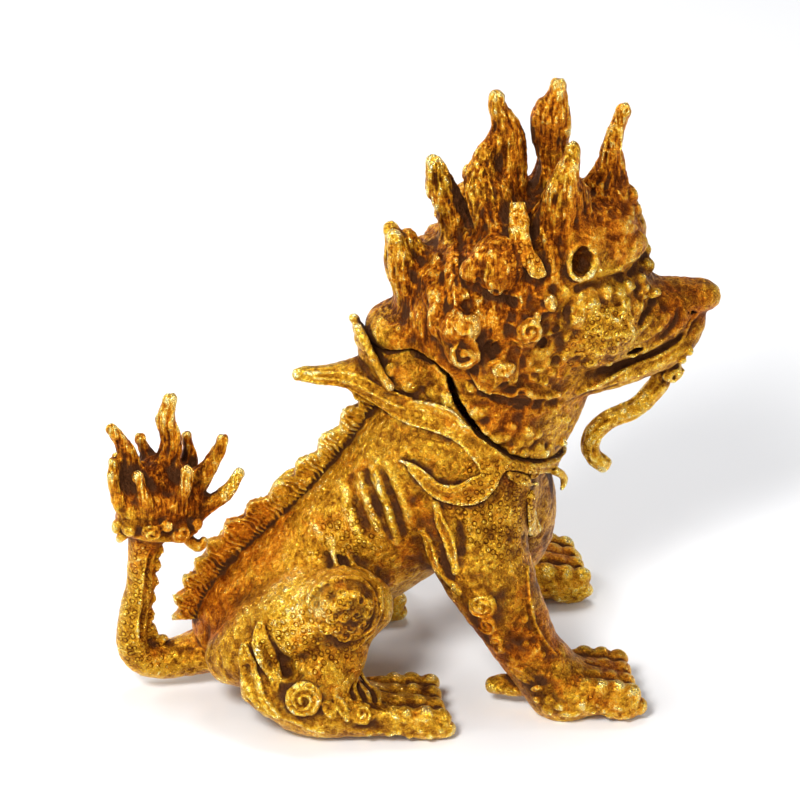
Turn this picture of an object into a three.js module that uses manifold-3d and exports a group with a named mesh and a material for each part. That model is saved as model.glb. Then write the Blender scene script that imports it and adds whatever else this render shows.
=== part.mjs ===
// A pixiu censer in gilt bronze: a seated beast with a hollow body, and its head as a loose, hollow cover.
// Millimetres, +Z up. The beast faces +X and its right side is towards -Y.
import * as THREE from "three";
import { mergeVertices } from "three/addons/utils/BufferGeometryUtils.js";
import Module from "manifold-3d";

const wasm = await Module();
wasm.setup();

// Driving dimensions.
const STANCE = 40; // from the middle plane to the middle of each paw
const TOE_PITCH = 7.2; // from toe to toe across a paw
const TOE_LENGTH = 12;
const WALL = 4.5; // the casting's wall, round the body's hollow and the head's
const CREST_THICK = 3.6; // the saw-toothed crest on the spine
const CREST_NOTCH = 5; // how deep each notch goes below the line of its two tips
const CREST_ROOT = 13; // from the tips to the crest's foot, inside the back
const LIP_GAP = 1.3; // the mouth's slit
const EYE_DEPTH = 3; // the recess inside that ring
const REACH = 80; // a cutter's reach to each side, past the widest part

// Solid modelling: each form is a closed skin, and forms are joined and cut as solids.

const solidOf = (geometry) => {
  const bare = geometry.clone();
  bare.deleteAttribute("normal");
  bare.deleteAttribute("uv");
  const merged = mergeVertices(bare, 1e-4);
  return new wasm.Manifold(
    new wasm.Mesh({
      numProp: 3,
      vertProperties: merged.attributes.position.array,
      triVerts: new Uint32Array(merged.index.array),
    }),
  );
};

const meshOf = (name, solid, material) => {
  const made = solid.getMesh();
  const geometry = new THREE.BufferGeometry()
    .setAttribute("position", new THREE.BufferAttribute(made.vertProperties, 3))
    .setIndex(new THREE.BufferAttribute(made.triVerts, 1));
  geometry.computeVertexNormals();
  const mesh = new THREE.Mesh(geometry, material);
  mesh.name = name;
  return mesh;
};

const join = (geometries) => geometries.map(solidOf).reduce((whole, next) => whole.add(next));
const cut = (solid, tools) => solid.subtract(join(tools));

// Turns a geometry into its mirror image across the middle plane.
const mirrored = (geometry) => {
  const twin = geometry.clone().scale(1, -1, 1);
  const index = twin.index.array;
  for (let i = 0; i < index.length; i += 3) [index[i + 1], index[i + 2]] = [index[i + 2], index[i + 1]];
  return twin;
};
const both = (geometries) => [...geometries, ...geometries.map(mirrored)];

// A closed skin round a smooth line. Each station is [x, y, z, a, b]: a point of the line, and the section's
// half-widths across it, a along `across` and b at right angles to that. One width makes a round section.
const ACROSS = new THREE.Vector3(0, 1, 0);
const curveOf = (points) => new THREE.CatmullRomCurve3(points, false, "catmullrom", 0.5);
const skin = (stations, { sides = 8, rings = 6, across = ACROSS } = {}) => {
  const line = curveOf(stations.map(([x, y, z]) => new THREE.Vector3(x, y, z)));
  const widths = curveOf(stations.map(([, , , a, b = a]) => new THREE.Vector3(a, b, 0)));
  // A sphere's rows become the rings, and its two poles close the ends.
  const geometry = new THREE.SphereGeometry(1, sides, rings + 1);
  const position = geometry.attributes.position;
  const row = sides + 1;
  for (let ring = 0; ring <= rings + 1; ring++) {
    const t = THREE.MathUtils.clamp((ring - 1) / (rings - 1), 0, 1);
    const centre = line.getPoint(t);
    const along = line.getTangent(t);
    const a = across.clone().addScaledVector(along, -across.dot(along)).normalize();
    const b = a.clone().cross(along);
    const width = widths.getPoint(t);
    const pole = ring === 0 ? -0.6 : ring === rings + 1 ? 0.6 : 0;
    for (let side = 0; side < row; side++) {
      const turn = (2 * Math.PI * (side % sides)) / sides;
      const point = centre.clone();
      if (pole) point.addScaledVector(along, pole * Math.min(width.x, width.y));
      else point.addScaledVector(a, Math.cos(turn) * width.x).addScaledVector(b, Math.sin(turn) * width.y);
      position.setXYZ(ring * row + side, point.x, point.y, point.z);
    }
  }
  return geometry;
};

// A flame or a lock of hair: a slender, tapering skin.
const lock = (stations, rings = 4, sides = 4) => skin(stations, { sides, rings });

// An egg with the given half-widths.
const egg = ([x, y, z], [a, b, c], sides = 16, rings = 10) =>
  new THREE.SphereGeometry(1, sides, rings).rotateX(Math.PI / 2).scale(a, b, c).translate(x, y, z);

// A curl of hair, as a low boss.
const curl = (centre, radius) => egg(centre, [radius, radius * 0.8, radius], 7, 4);

// A prism of the given outline in the middle plane, `thick` through in Y.
const slab = (outline, thick) =>
  mergeVertices(
    new THREE.ExtrudeGeometry(new THREE.Shape(outline.map(([x, z]) => new THREE.Vector2(x, z))), {
      depth: thick,
      bevelEnabled: false,
    })
      .rotateX(Math.PI / 2)
      .translate(0, thick / 2, 0),
  );

// A saw-toothed crest: its outline runs along the tips with a notch between each two, and back inside the form.
// The notches lie to the right of the way the tips run, which is the side of the form.
const crest = (tips, notch, root, thick) => {
  const inward = (i) => {
    const from = tips[Math.max(i - 1, 0)];
    const to = tips[Math.min(i + 1, tips.length - 1)];
    const [dx, dz] = [to[0] - from[0], to[1] - from[1]];
    const long = Math.hypot(dx, dz);
    return [dz / long, -dx / long];
  };
  const outline = [];
  for (let i = 0; i < tips.length; i++) {
    const [x, z] = tips[i];
    outline.push([x, z]);
    if (i === tips.length - 1) break;
    const [nx, nz] = inward(i);
    const [xNext, zNext] = tips[i + 1];
    outline.push([x * 0.4 + xNext * 0.6 + nx * notch, z * 0.4 + zNext * 0.6 + nz * notch]);
  }
  for (let i = tips.length - 1; i >= 0; i--) {
    const [nx, nz] = inward(i);
    outline.push([tips[i][0] + nx * root, tips[i][1] + nz * root]);
  }
  return slab(outline, thick);
};

// The body.

// The trunk from the rump to the neck. The same stations, less the wall, make the hollow.
const TRUNK = [
  [-68, 0, 20, 13, 10],
  [-60, 0, 25, 20, 18],
  [-46, 0, 35, 25, 23],
  [-29, 0, 47, 27, 27],
  [-11, 0, 61, 27, 29],
  [8, 0, 76, 27, 32],
  [19, 0, 91, 26, 32],
  [27, 0, 104, 26.5, 34],
  [37, 0, 119, 26, 31],
];
const trunk = () => [skin(TRUNK, { sides: 14, rings: 9 }), egg([33, 0, 62], [19, 24, 26], 10, 7)];

// One foreleg, on the right: the shoulder, the leg, and the paw with four toes and a spur behind.
const foreleg = () => [
  egg([20, -19, 74], [17, 12, 22], 8, 5),
  skin(
    [
      [16, -22, 66, 13, 17],
      [18, -28, 54, 13, 16],
      [24, -33, 40, 12, 13.5],
      [33, -37, 23, 11, 12],
      [40, -39, 12, 11, 11],
      [44, -39, 4, 11, 10],
    ],
    { sides: 8, rings: 5 },
  ),
  skin(
    [
      [28, -40, 7, 9, 6],
      [40, -40, 9, 12.5, 10],
      [54, -40, 8.5, 14, 9],
      [64, -40, 6, 14, 6.5],
    ],
    { sides: 8, rings: 3 },
  ),
  ...toes(60),
  skin(
    [
      [14, -38, 5, 3, 3.2],
      [17, -38, 5, 3.4, 3.6],
      [34, -40, 5.5, 3.4, 3.6],
    ],
    { sides: 6, rings: 3 },
  ),
];

// The four toes of a right paw, from the knuckles at x. Each bends over a knuckle to a blunt claw.
function toes(x) {
  return [-1.5, -0.5, 0.5, 1.5].map((place) => {
    const y = place * TOE_PITCH - STANCE;
    return skin(
      [
        [x - 2, y, 8, 3.8, 4.6],
        [x + TOE_LENGTH * 0.5, y + place * 0.9, 6.6, 4.1, 5.2],
        [x + TOE_LENGTH, y + place * 1.5, 3.2, 2.9, 3.2],
      ],
      { sides: 5, rings: 3 },
    );
  });
}

// One hind leg, on the right: the thigh, the folded shank, and the long foot flat on the ground.
const hindleg = () => [
  skin(
    [
      [-68, -22, 13.4, 9, 9],
      [-60, -24, 22, 12.5, 14],
      [-49, -25, 33, 16, 18],
      [-37, -28, 40, 17, 20],
      [-25, -31, 42, 14.5, 17],
      [-15, -33, 42, 9, 11],
    ],
    { sides: 9, rings: 6 },
  ),
  skin(
    [
      [-20, -34, 34, 9, 9],
      [-28, -36, 24, 11, 12],
      [-42, -38, 16, 12, 12],
      [-54, -38, 12, 10, 10],
      [-60, -38, 11, 7, 7],
    ],
    { sides: 7, rings: 4 },
  ),
  skin(
    [
      [-58, -39, 9, 7, 7],
      [-46, -40, 9, 10, 9],
      [-30, -40, 9, 12, 10],
      [-14, -40, 9, 13.5, 9.5],
      [-2, -40, 6, 13.5, 6.5],
    ],
    { sides: 8, rings: 3 },
  ),
  ...toes(-7),
];

// Relief on the right side: five ribs, the knee's boss, and the locks behind the elbow and on the hock.
const RIBS = [
  [[-28.4, -8, 81.5], [-26.5, -17.5, 75.2], [-23.3, -23.8, 66.8]],
  [[-23.2, -9.5, 85.5], [-20.1, -19.5, 78.5], [-16.1, -25.4, 67.6]],
  [[-18.4, -12.4, 88.5], [-14.2, -22.2, 78.2], [-10.9, -26.2, 66]],
  [[-12.5, -15.4, 91.4], [-8.9, -23, 81.2], [-5.8, -26.3, 68.6]],
  [[-8.6, -18, 91.6], [-4.9, -23.4, 83.6], [-1.4, -26.1, 74]],
];
const flankRelief = () => [
  ...RIBS.map(([top, middle, foot]) => skin([[...top, 1], [...middle, 2], [...foot, 1]], { sides: 4, rings: 3 })),
  egg([-28, -35, 47.5], [13.5, 11, 10.5], 8, 5),
  lock([[1, -26, 77, 1], [6, -33, 66, 2.4], [9.2, -38, 56.4, 2.6], [14, -42, 44, 2]]),
  lock([[-3.5, -26.5, 68.5, 1], [0.5, -29, 58, 2.2], [6.1, -36, 50, 2.4], [13, -41, 45, 2]]),
  lock([[-58.5, -34.5, 44.5, 1.2], [-55.5, -38, 34, 2.4], [-54, -42, 25, 2.6], [-51, -45, 17, 2.4]]),
  lock([[-64, -33, 33, 1.2], [-61.5, -34, 23, 2.2], [-57, -40, 14, 2.4], [-49, -46, 9, 2.4]]),
  curl([-49, -45, 17], 5),
  curl([10, -39.5, 42], 4.6),
];

// The mantle on the shoulders: a band along the neck's edge, a wavy one below it, and a drop on the chest.
const mantle = () => [
  skin(
    [
      [-9, -4, 107, 1.4, 3],
      [-3.5, -10.5, 108.4, 1.6, 3],
      [3, -17, 108.4, 1.8, 3],
      [9, -21, 107.2, 1.8, 3],
      [14.5, -24, 103.2, 1.8, 3.4],
      [21, -25.5, 96.6, 1.8, 4.4],
      [28, -25.4, 90, 1.8, 4.6],
      [36, -22, 85, 1.8, 3.6],
      [44, -14.5, 79.5, 1.8, 3],
      [50.4, 0, 75, 1.8, 3],
    ],
    { sides: 4, rings: 10 },
  ),
  skin(
    [
      [-8, -20.5, 89.8, 1, 1],
      [-3.7, -23.6, 84.6, 1.6, 2],
      [3, -26, 79.2, 1.8, 2.6],
      [11, -28.4, 77.4, 1.8, 2.8],
      [18.1, -29.8, 80, 1.8, 2.8],
      [22.4, -28.6, 85.6, 1.8, 2.8],
      [26, -26.6, 89, 1.6, 2.4],
    ],
    { sides: 4, rings: 7 },
  ),
  lock([[35, -25.2, 76, 1], [36, -23.4, 66, 2.6], [38.5, -21.8, 57, 1.4]], 3),
  lock([[28, -27.2, 84, 1], [35, -24.8, 79, 2.4], [45, -16, 71, 1.2]], 3),
];

// The mantle's loose end behind the neck, and the upright collar at the nape.
const mantleEnd = () =>
  skin(
    [
      [-6, 0, 110, 6, 4],
      [-14, 0, 112.5, 5, 4],
      [-24, 0, 114.2, 4, 3.4],
      [-33, 0, 113.8, 3.4, 2.8],
      [-38.5, 0, 113.4, 2.4, 1.8],
    ],
    { sides: 6, rings: 4 },
  );
const collar = () =>
  skin(
    [
      [-1, -17, 117, 1.8, 7],
      [-7, -10, 120, 2, 9],
      [-11, 0, 121, 2, 9.5],
      [-7, 10, 120, 2, 9],
      [-1, 17, 117, 1.8, 7],
    ],
    { sides: 6, rings: 6, across: new THREE.Vector3(1, 0, 0.45) },
  );

const SPINE_TIPS = [
  [-9, 113.5],
  [-17.3, 107.4],
  [-23.7, 99.8],
  [-30.6, 91],
  [-38.8, 82.4],
  [-46.3, 75.2],
  [-55.5, 68.5],
  [-63.4, 62.1],
  [-70.3, 54.8],
  [-74.5, 47.9],
  [-78.7, 41.8],
  [-82.2, 34.4],
  [-83, 26.4],
];
const TAIL_TIPS = [
  [-82, 18],
  [-86.5, 23],
  [-88, 29],
  [-87.6, 35],
  [-86.6, 41],
  [-84.6, 47],
  [-83, 53],
];

// The tail: it leaves the rump low, bends up, and carries a tuft of flames on a collar of curls.
const TAIL = [
  [-62, 0, 16, 12, 11],
  [-74, 0, 12, 8.6, 8.6],
  [-86, 0, 10.6, 7.6, 7.6],
  [-94.4, 0, 15.5, 7.2, 7.2],
  [-96.4, 0, 28, 6.4, 6.4],
  [-94, 0, 42, 5.8, 5.8],
  [-91.4, 0, 54, 5.4, 5.4],
  [-89.5, 0, 62, 7.4, 9],
  [-88, 0, 70, 6.4, 9],
];
const TUFT = [
  [[-83, 0, 70, 5, 7], [-79.7, 0, 83, 4.4, 6], [-83.2, 0, 97, 3.6, 4.8], [-81.4, 0, 109, 2.4, 3]],
  [[-92, -1, 73, 4, 5], [-97, -2, 90, 3.4, 5], [-100.6, -2, 101, 2.2, 2.6]],
  [[-88, 5, 73, 4], [-89.4, 6, 84, 3.4], [-91.4, 6, 92.4, 2.2]],
  [[-79, 5, 72, 4], [-75.2, 7, 83, 3.4], [-75.6, 7, 91, 2.2]],
  [[-79, 0, 68, 4, 6], [-68, 0, 82, 3.4, 5], [-64.8, 0, 92.4, 2.2, 2.6]],
  [[-82, -3, 63, 4.4], [-66.2, -3, 70, 3.2, 4], [-59.6, -3, 81, 2.4]],
  [[-92, 4, 69, 4], [-98, 4, 80, 3], [-101.6, 4, 87, 2]],
  [[-93, -4, 66, 4], [-101, -6, 76.5, 2.8], [-102.8, -6, 87, 2]],
  [[-90, -5, 68, 3.8], [-93.8, -9, 81, 2.8], [-94.9, -9, 88.4, 2]],
  [[-83, -4, 67, 3.6], [-78.4, -9, 81, 2.8], [-77.5, -9, 87.4, 2]],
];
const TUFT_CURLS = [
  [-98, -4, 63, 4.6],
  [-91, -8, 65.5, 4.4],
  [-82, -8, 64, 4.6],
  [-85, 8, 66, 4.6],
];
const tail = () => [
  skin(TAIL, { sides: 7, rings: 9 }),
  ...TUFT.map((flame) => lock(flame, 4, 5)),
  ...TUFT_CURLS.map(([x, y, z, radius]) => curl([x, y, z], radius)),
  lock([[-80, 0, 66, 4], [-76, 0, 59, 3], [-71, 0, 53, 2.6]], 3),
];

// The head.

// The neck under the head, with the throat in front. The same stations, less the wall, make the way in.
const NECK = [
  [14, 0, 88, 24, 31],
  [24, 0, 102, 24, 32],
  [34, 0, 120, 23, 30],
];
const skull = () => [
  skin(NECK, { sides: 14, rings: 3 }),
  egg([43, 0, 140], [35, 27, 36], 13, 9),
  egg([22, 0, 134], [28, 29, 30], 11, 7),
  egg([-4, 0, 130], [13, 14, 8], 8, 5),
  egg([60, 0, 159], [17, 21, 19], 10, 7),
];

// The muzzle rises to the nose, and the lower jaw ends in a lip that curls up under it.
const muzzle = () => [
  skin(
    [
      [58, 0, 134, 23, 24],
      [71, 0, 130, 18.5, 15.5],
      [82, 0, 127.5, 14, 10.5],
      [91, 0, 128.5, 10, 8.5],
      [98, 0, 131, 7, 6],
      [102.4, 0, 132.4, 4, 4],
    ],
    { sides: 11, rings: 6 },
  ),
  skin(
    [
      [44, 0, 112, 21, 12],
      [60, 0, 110.5, 17.5, 9],
      [74, 0, 111.5, 13.5, 7.5],
      [86, 0, 112.5, 10, 6.5],
      [94.5, 0, 116.5, 7.5, 5],
      [98.4, 0, 122, 4.5, 3.5],
    ],
    { sides: 10, rings: 6 },
  ),
];

const LIPS = [
  [66, 0, 121.5, 30, LIP_GAP / 2],
  [72, 0, 119.5, 30, LIP_GAP / 2],
  [82, 0, 117.8, 30, LIP_GAP / 2],
  [91, 0, 119.8, 30, LIP_GAP / 2],
  [97, 0, 125, 30, LIP_GAP],
  [106, 0, 129, 30, LIP_GAP],
];

// The face on the right side: the eye's ring, the brow, the cheek, the knobs over the snout and the ear's lock.
const EYE = [51.7, -22.6, 158.4];
const eyeTurned = (geometry) => geometry.rotateX(-0.45).rotateZ(0.16).translate(...EYE);
const eyeRing = () =>
  eyeTurned(new THREE.TorusGeometry(1, 0.26, 4, 12).scale(5, 5.8, 5).rotateX(Math.PI / 2));
const eyeRecess = () => eyeTurned(new THREE.SphereGeometry(1, 8, 6).scale(3.9, EYE_DEPTH, 4.7));
const face = () => [
  eyeRing(),
  lock([[56, -21.5, 152.6, 1.6], [66, -17, 153, 2.8], [76.5, -8, 157, 2.2]], 3),
  lock([[47, -23, 165, 1.6], [58, -21, 164.5, 2.8], [70, -13, 162, 2]], 3),
  curl([77.5, -4.5, 153], 3.8),
  curl([78, -4, 146], 4),
  curl([66, -17, 141], 5),
  curl([97.5, -4.6, 131.6], 3.4),
  egg([58, -19, 131], [12, 7, 10], 8, 5),
  lock([[39, -25, 156, 3], [33, -21.5, 163, 3], [30, -17.5, 170, 3], [32.5, -15, 178, 2.2]]),
];

// The mane's locks on the right side: a middle, half a length, and the way each points in degrees from forward.
const MANE = [
  [20.5, -25, 151, 10, 150],
  [8, -24.5, 141, 10, 165],
  [23, -28.5, 126, 11, 190],
  [34, -28, 139, 9, 130],
  [26, -19.5, 162, 8, 120],
  [11, -23, 126, 9, 185],
  [39, -26, 120, 9, 215],
  [25, -25, 113, 7, 200],
  [41, -23, 109, 7, 190],
  [1, -16, 134, 8, 170],
];
const maneLock = ([x, y, z, half, degrees]) => {
  const turn = THREE.MathUtils.degToRad(degrees);
  const at = (ahead, aside, out, radius) => [
    x + half * (ahead * Math.cos(turn) - aside * Math.sin(turn)),
    y + half * out,
    z + half * (ahead * Math.sin(turn) + aside * Math.cos(turn)),
    half * radius,
  ];
  return lock([at(-1, 0.15, 0.45, 0.3), at(-0.2, -0.15, 0, 0.5), at(0.6, 0, 0.1, 0.4), at(0.95, 0.5, 0.3, 0.2)]);
};

// Flames over the head. Those on the middle plane stand alone, and the others stand on the right side.
const CROWN = [
  [[8, 0, 128, 7, 10], [2, 0, 141, 6, 8], [-3.6, 0, 154, 4, 5], [-6.8, 0, 163.4, 2, 2.6]],
  [[4, 0, 142, 5, 6], [1, 0, 153, 3.4, 4.4], [-2, 0, 162.4, 2, 2.4]],
  [[17, 0, 150, 7, 9], [12.5, 0, 166, 5.4, 6], [8, 0, 179, 4.2, 4.6], [6.4, 0, 188.6, 2.6, 3.2]],
  [[30, 0, 168, 8, 10], [32.3, 0, 185, 6, 8], [29.4, 0, 198, 4.6, 6], [27.8, 0, 209.6, 2.8, 3.2]],
  [[45, 0, 168, 8, 10], [46.8, 0, 188, 6, 8], [47, 0, 202, 4.6, 5.4], [47.7, 0, 212.4, 2.8, 3.2]],
  [[43, 0, 180, 4, 5], [41.2, 0, 194, 3, 3.6], [41.2, 0, 202, 1.8, 2]],
  [[62, 0, 165, 8, 9], [65.4, 0, 180, 4.4, 5], [68.2, 0, 192, 3.2, 3.4], [70.8, 0, 201.6, 2.6, 2.8]],
];
const SIDE_FLAMES = [
  [[30, -12, 158, 6, 8], [25, -12, 170, 5, 6], [19.5, -12, 181, 3.6, 4.2], [14.5, -12, 190, 2, 2.4]],
  [[47, -13, 163, 7, 8], [49, -17, 175, 4.6, 5.6], [49.8, -16, 187, 3.2, 3.4], [50.2, -14, 197, 2.6, 2.8]],
];
// Their twins on the left lean in, so that they stand behind the middle ones.
const LEFT_FLAMES = [
  [[30, 12, 158, 6, 8], [27, 10, 166, 5, 6], [24, 9, 174, 3.4, 4], [20, 8, 180, 2]],
  [[47, 13, 163, 7, 8], [48.4, 14, 173, 4.6, 5.6], [48.4, 11, 183, 3.2], [48.2, 9, 192, 2.4]],
];

const beard = () => [
  lock(
    [
      [90, 0, 113, 5],
      [86, 0, 106, 4.2],
      [84.5, 0, 99.5, 3.6],
      [77, 0, 91, 3.5],
      [67, 0, 87, 3.5],
      [61.6, 0, 81.4, 3.4],
      [61.6, 0, 74.4, 3.2],
      [66, 0, 70, 3],
    ],
    9,
    6,
  ),
  curl([87.6, 0, 104.4], 4.6),
];

// The seam between head and neck, as lines in the middle plane: a step behind the cheek, and the gap widest there.
const SEAM_BODY = [
  [-60, 131.6],
  [-13.6, 131.6],
  [-4, 129.4],
  [7.4, 119.6],
  [9.4, 110],
  [16.2, 100.4],
  [27.6, 90.6],
  [43, 83],
  [90, 66],
];
const SEAM_HEAD = [
  [-60, 132.2],
  [-13.4, 132.2],
  [-3.6, 130],
  [9.4, 120.8],
  [12, 111.4],
  [18.6, 102],
  [28.6, 91.8],
  [43.2, 83.7],
  [90, 66.7],
];
const above = (line) => slab([...line, [140, 240], [-60, 240]], 2 * REACH);

const ground = () => slab([[-140, 0], [-140, -60], [140, -60], [140, 0]], 2 * REACH);

// The hollows: the trunk's and the neck's stations less the wall, and an egg inside the skull.
const less = (stations, wall) => stations.map(([x, y, z, a, b]) => [x, y, z, a - wall, b - wall]);
const bodyHollow = () => [skin(less(TRUNK.slice(1), WALL), { sides: 11, rings: 6 })];
const headHollow = () => [
  skin(less(NECK, WALL), { sides: 11, rings: 3 }),
  egg([36, 0, 138], [26, 20, 27], 11, 7),
];

const gilt = new THREE.MeshStandardMaterial({ color: 0xc8861d, roughness: 0.35, metalness: 1 });

const bodyForms = [
  ...trunk(),
  ...both([...foreleg(), ...hindleg(), ...flankRelief(), ...mantle()]),
  ...tail(),
  mantleEnd(),
  collar(),
  crest(SPINE_TIPS, -CREST_NOTCH, -CREST_ROOT, CREST_THICK),
  crest(TAIL_TIPS, CREST_NOTCH * 0.5, 8, CREST_THICK * 0.8),
];
const headForms = [
  ...skull(),
  ...muzzle(),
  ...both([...face(), ...MANE.map(maneLock)]),
  ...[...CROWN, ...SIDE_FLAMES, ...LEFT_FLAMES].map((flame) => lock(flame, 5, 6)),
  ...beard(),
];

const body = cut(join(bodyForms), [above(SEAM_BODY), ground(), ...bodyHollow()]);
const head = cut(join(headForms).intersect(solidOf(above(SEAM_HEAD))), [
  ...headHollow(),
  skin(LIPS, { sides: 4, rings: 8 }),
  ...both([eyeRecess()]),
]);

const statue = new THREE.Group();
statue.add(meshOf("body", body, gilt));
statue.add(meshOf("head", head, gilt));
export default statue;
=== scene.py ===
# %% [markdown]
# # A pixiu statue in gilt bronze
#
# The beast is modelled the way it was made: as wax. Soft forms run into one another, so the script works
# with a distance field, in which forms are joined with a fillet between them. The finer relief is drawn
# on the field's surface, as a modeller lays wax wire and cuts with a tool, and then the field becomes a
# mesh.

# %% The tools and the solids
import math

import bpy
import numpy as np
import openvdb
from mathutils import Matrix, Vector


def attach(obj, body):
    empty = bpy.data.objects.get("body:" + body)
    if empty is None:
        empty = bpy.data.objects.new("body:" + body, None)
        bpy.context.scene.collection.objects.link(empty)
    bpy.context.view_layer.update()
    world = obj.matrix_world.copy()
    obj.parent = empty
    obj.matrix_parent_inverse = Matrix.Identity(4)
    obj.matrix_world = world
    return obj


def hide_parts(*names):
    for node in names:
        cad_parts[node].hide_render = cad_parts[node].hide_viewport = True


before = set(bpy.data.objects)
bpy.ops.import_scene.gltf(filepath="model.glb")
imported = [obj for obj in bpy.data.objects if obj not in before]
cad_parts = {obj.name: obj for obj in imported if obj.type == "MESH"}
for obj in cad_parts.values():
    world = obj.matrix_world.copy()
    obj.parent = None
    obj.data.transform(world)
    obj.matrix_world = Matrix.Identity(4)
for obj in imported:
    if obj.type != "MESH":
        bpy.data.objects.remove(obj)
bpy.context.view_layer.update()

# %% [markdown]
# ## Sizes
#
# All places and sizes are in millimetres in the row's frame, as in the CAD source: +X is the way the
# beast faces and its right side is towards -Y. A station is x, y and z with two half-widths. The head
# rests on the body along the seam, where the photograph shows a black gap. So the seam has two lines a
# little apart, one for each casting.

# %% Stations of the trunk, the tail and the seam
MM = 0.001
VOXEL = 0.55
BAND = 5.0  # how far outside a form its distance is worked out
FAR = 6.0  # the distance stored where no form is near
WALL = 4.5  # the thickness of the cast bronze
SEED = 7
CRUMB = 600  # an island with fewer faces is left out

TRUNK = [
    (-68, 0, 20, 13, 10), (-59.4, 0, 24.4, 19, 17), (-45.2, 0, 34, 23.5, 21.7), (-28.2, 0, 45.4, 24.5, 24.4),
    (-10.4, 0, 59.8, 25.6, 27.4), (8, 0, 76, 27, 32), (19, 0, 91, 26, 32), (27, 0, 104, 26.5, 34),
    (37, 0, 119, 26, 31),
]
NECK = [(14, 0, 88, 26, 32), (24, 0, 102, 26.3, 33.4), (34, 0, 120, 25, 31)]
TAIL = [
    (-60, 0, 18, 13, 12), (-70, 0, 13.4, 9, 8.6), (-79, 0, 11.2, 7.2, 7), (-88, 0, 10.8, 6.5, 6.4),
    (-94.4, 0, 14, 5.9, 5.9), (-96.6, 0, 21, 5.3, 5.3), (-95.4, 0, 30, 5, 5), (-93.3, 0, 40, 4.7, 4.7),
    (-92.6, 0, 50, 4.6, 4.6), (-91.6, 0, 57, 5.2, 5.6), (-89.5, 0, 63, 6.5, 8.5), (-87, 0, 69, 7, 10),
]
SEAM_BODY = [
    (-60, 123), (-14, 123.4), (-9, 125.4), (-4, 126.8), (2.6, 124), (7.6, 118.6), (9.4, 110), (16.2, 100.4),
    (27.6, 90.6), (43, 83), (90, 66),
]
SEAM_HEAD = [
    (-60, 123.8), (-13.6, 124.2), (-8.6, 126.3), (-3.6, 127.7), (3.4, 125.2), (9.4, 119.6), (11.7, 111.2),
    (17.8, 101.7), (28, 91.2), (43.2, 83.5), (90, 66.5),
]
print("lattice step", VOXEL, "mm, wall", WALL, "mm")

# %% [markdown]
# ## Forms as distances
#
# A form answers one question: how far is a point from its surface, with minus inside. `Tube` is the CAD
# source's skin: a line through stations, with an elliptical section that changes along it.

# %% Lines and tubes
def smooth_line(rows, per):
    """The rows of a list of stations, with `per` steps of a Catmull-Rom curve between each two."""
    rows = np.array(rows, float)
    ends = np.vstack([2 * rows[0] - rows[1], rows, 2 * rows[-1] - rows[-2]])
    out = []
    for i in range(1, len(ends) - 2):
        p0, p1, p2, p3 = ends[i - 1 : i + 3]
        for t in np.arange(per) / per:
            out.append(
                0.5 * (2 * p1 + (p2 - p0) * t + (2 * p0 - 5 * p1 + 4 * p2 - p3) * t**2
                       + (3 * p1 - p0 - 3 * p2 + p3) * t**3)
            )
    out.append(rows[-1])
    return np.array(out)


def widened(stations):
    """Stations with both half-widths: one width makes a round section."""
    return [tuple(s) if len(s) == 5 else tuple(s) + (s[3],) for s in stations]


def unit(v):
    return v / np.maximum(np.linalg.norm(v, axis=-1, keepdims=True), 1e-9)


class Tube:
    """A line with an elliptical section. A station is x, y, z, a and b: a is measured along `across`."""

    def __init__(self, stations, across=(0, 1, 0), per=4, cap=0.7, grooves=(0, 0, 0)):
        self.strands, self.groove_depth, self.twist = grooves
        rows = smooth_line(widened(stations), per)
        self.p, self.a, self.b = rows[:, :3], np.maximum(rows[:, 3], 0.2), np.maximum(rows[:, 4], 0.2)
        self.along = unit(np.gradient(self.p, axis=0))
        across = np.array(across, float)
        self.side = unit(across - (self.along @ across)[:, None] * self.along)
        self.up = np.cross(self.side, self.along)
        self.cap = cap

    def pieces(self):
        """Each segment with the box outside which it is too far to matter."""
        for i in range(len(self.p) - 1):
            reach = max(self.a[i : i + 2].max(), self.b[i : i + 2].max()) + BAND
            yield i, self.p[i : i + 2].min(0) - reach, self.p[i : i + 2].max(0) + reach

    def distance(self, i, x, y, z):
        """Distance from segment i, with the grooves that run along the form."""
        p, d = self.p[i], self.p[i + 1] - self.p[i]
        t = np.clip(((x - p[0]) * d[0] + (y - p[1]) * d[1] + (z - p[2]) * d[2]) / (d @ d), 0, 1)
        dx, dy, dz = x - p[0] - t * d[0], y - p[1] - t * d[1], z - p[2] - t * d[2]
        a = self.a[i] + t * (self.a[i + 1] - self.a[i])
        b = self.b[i] + t * (self.b[i + 1] - self.b[i])
        c = np.minimum(a, b) * self.cap
        side, up, along = self.side[i], self.up[i], self.along[i]
        qa = dx * side[0] + dy * side[1] + dz * side[2]
        qb = dx * up[0] + dy * up[1] + dz * up[2]
        qc = dx * along[0] + dy * along[1] + dz * along[2]
        k0 = np.sqrt((qa / a) ** 2 + (qb / b) ** 2 + (qc / c) ** 2)
        k1 = np.sqrt((qa / a**2) ** 2 + (qb / b**2) ** 2 + (qc / c**2) ** 2)
        found = k0 * (k0 - 1) / np.maximum(k1, 1e-6)
        if self.strands:
            angle, way = np.arctan2(qb / b, qa / a), i + t
            turn = self.strands * angle + self.twist * way + 0.9 * np.sin(0.7 * way + 2 * angle)
            swing = 0.65 + 0.35 * np.sin(3 * angle + 0.6 * way)
            fade = np.clip((np.minimum(a, b) - 1.6) / 1.6, 0, 1) * swing
            found = found + self.groove_depth * fade * (0.5 - 0.5 * np.cos(turn)) ** 2
        return found

# %% [markdown]
# ## Eggs and plates
#
# Lumps, knuckles and hollows are eggs, which a modeller rolls between the fingers. The crest is a plate
# sawn to an outline of teeth and combed with a scriber, so here its thickness changes along lines across
# it.

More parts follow.
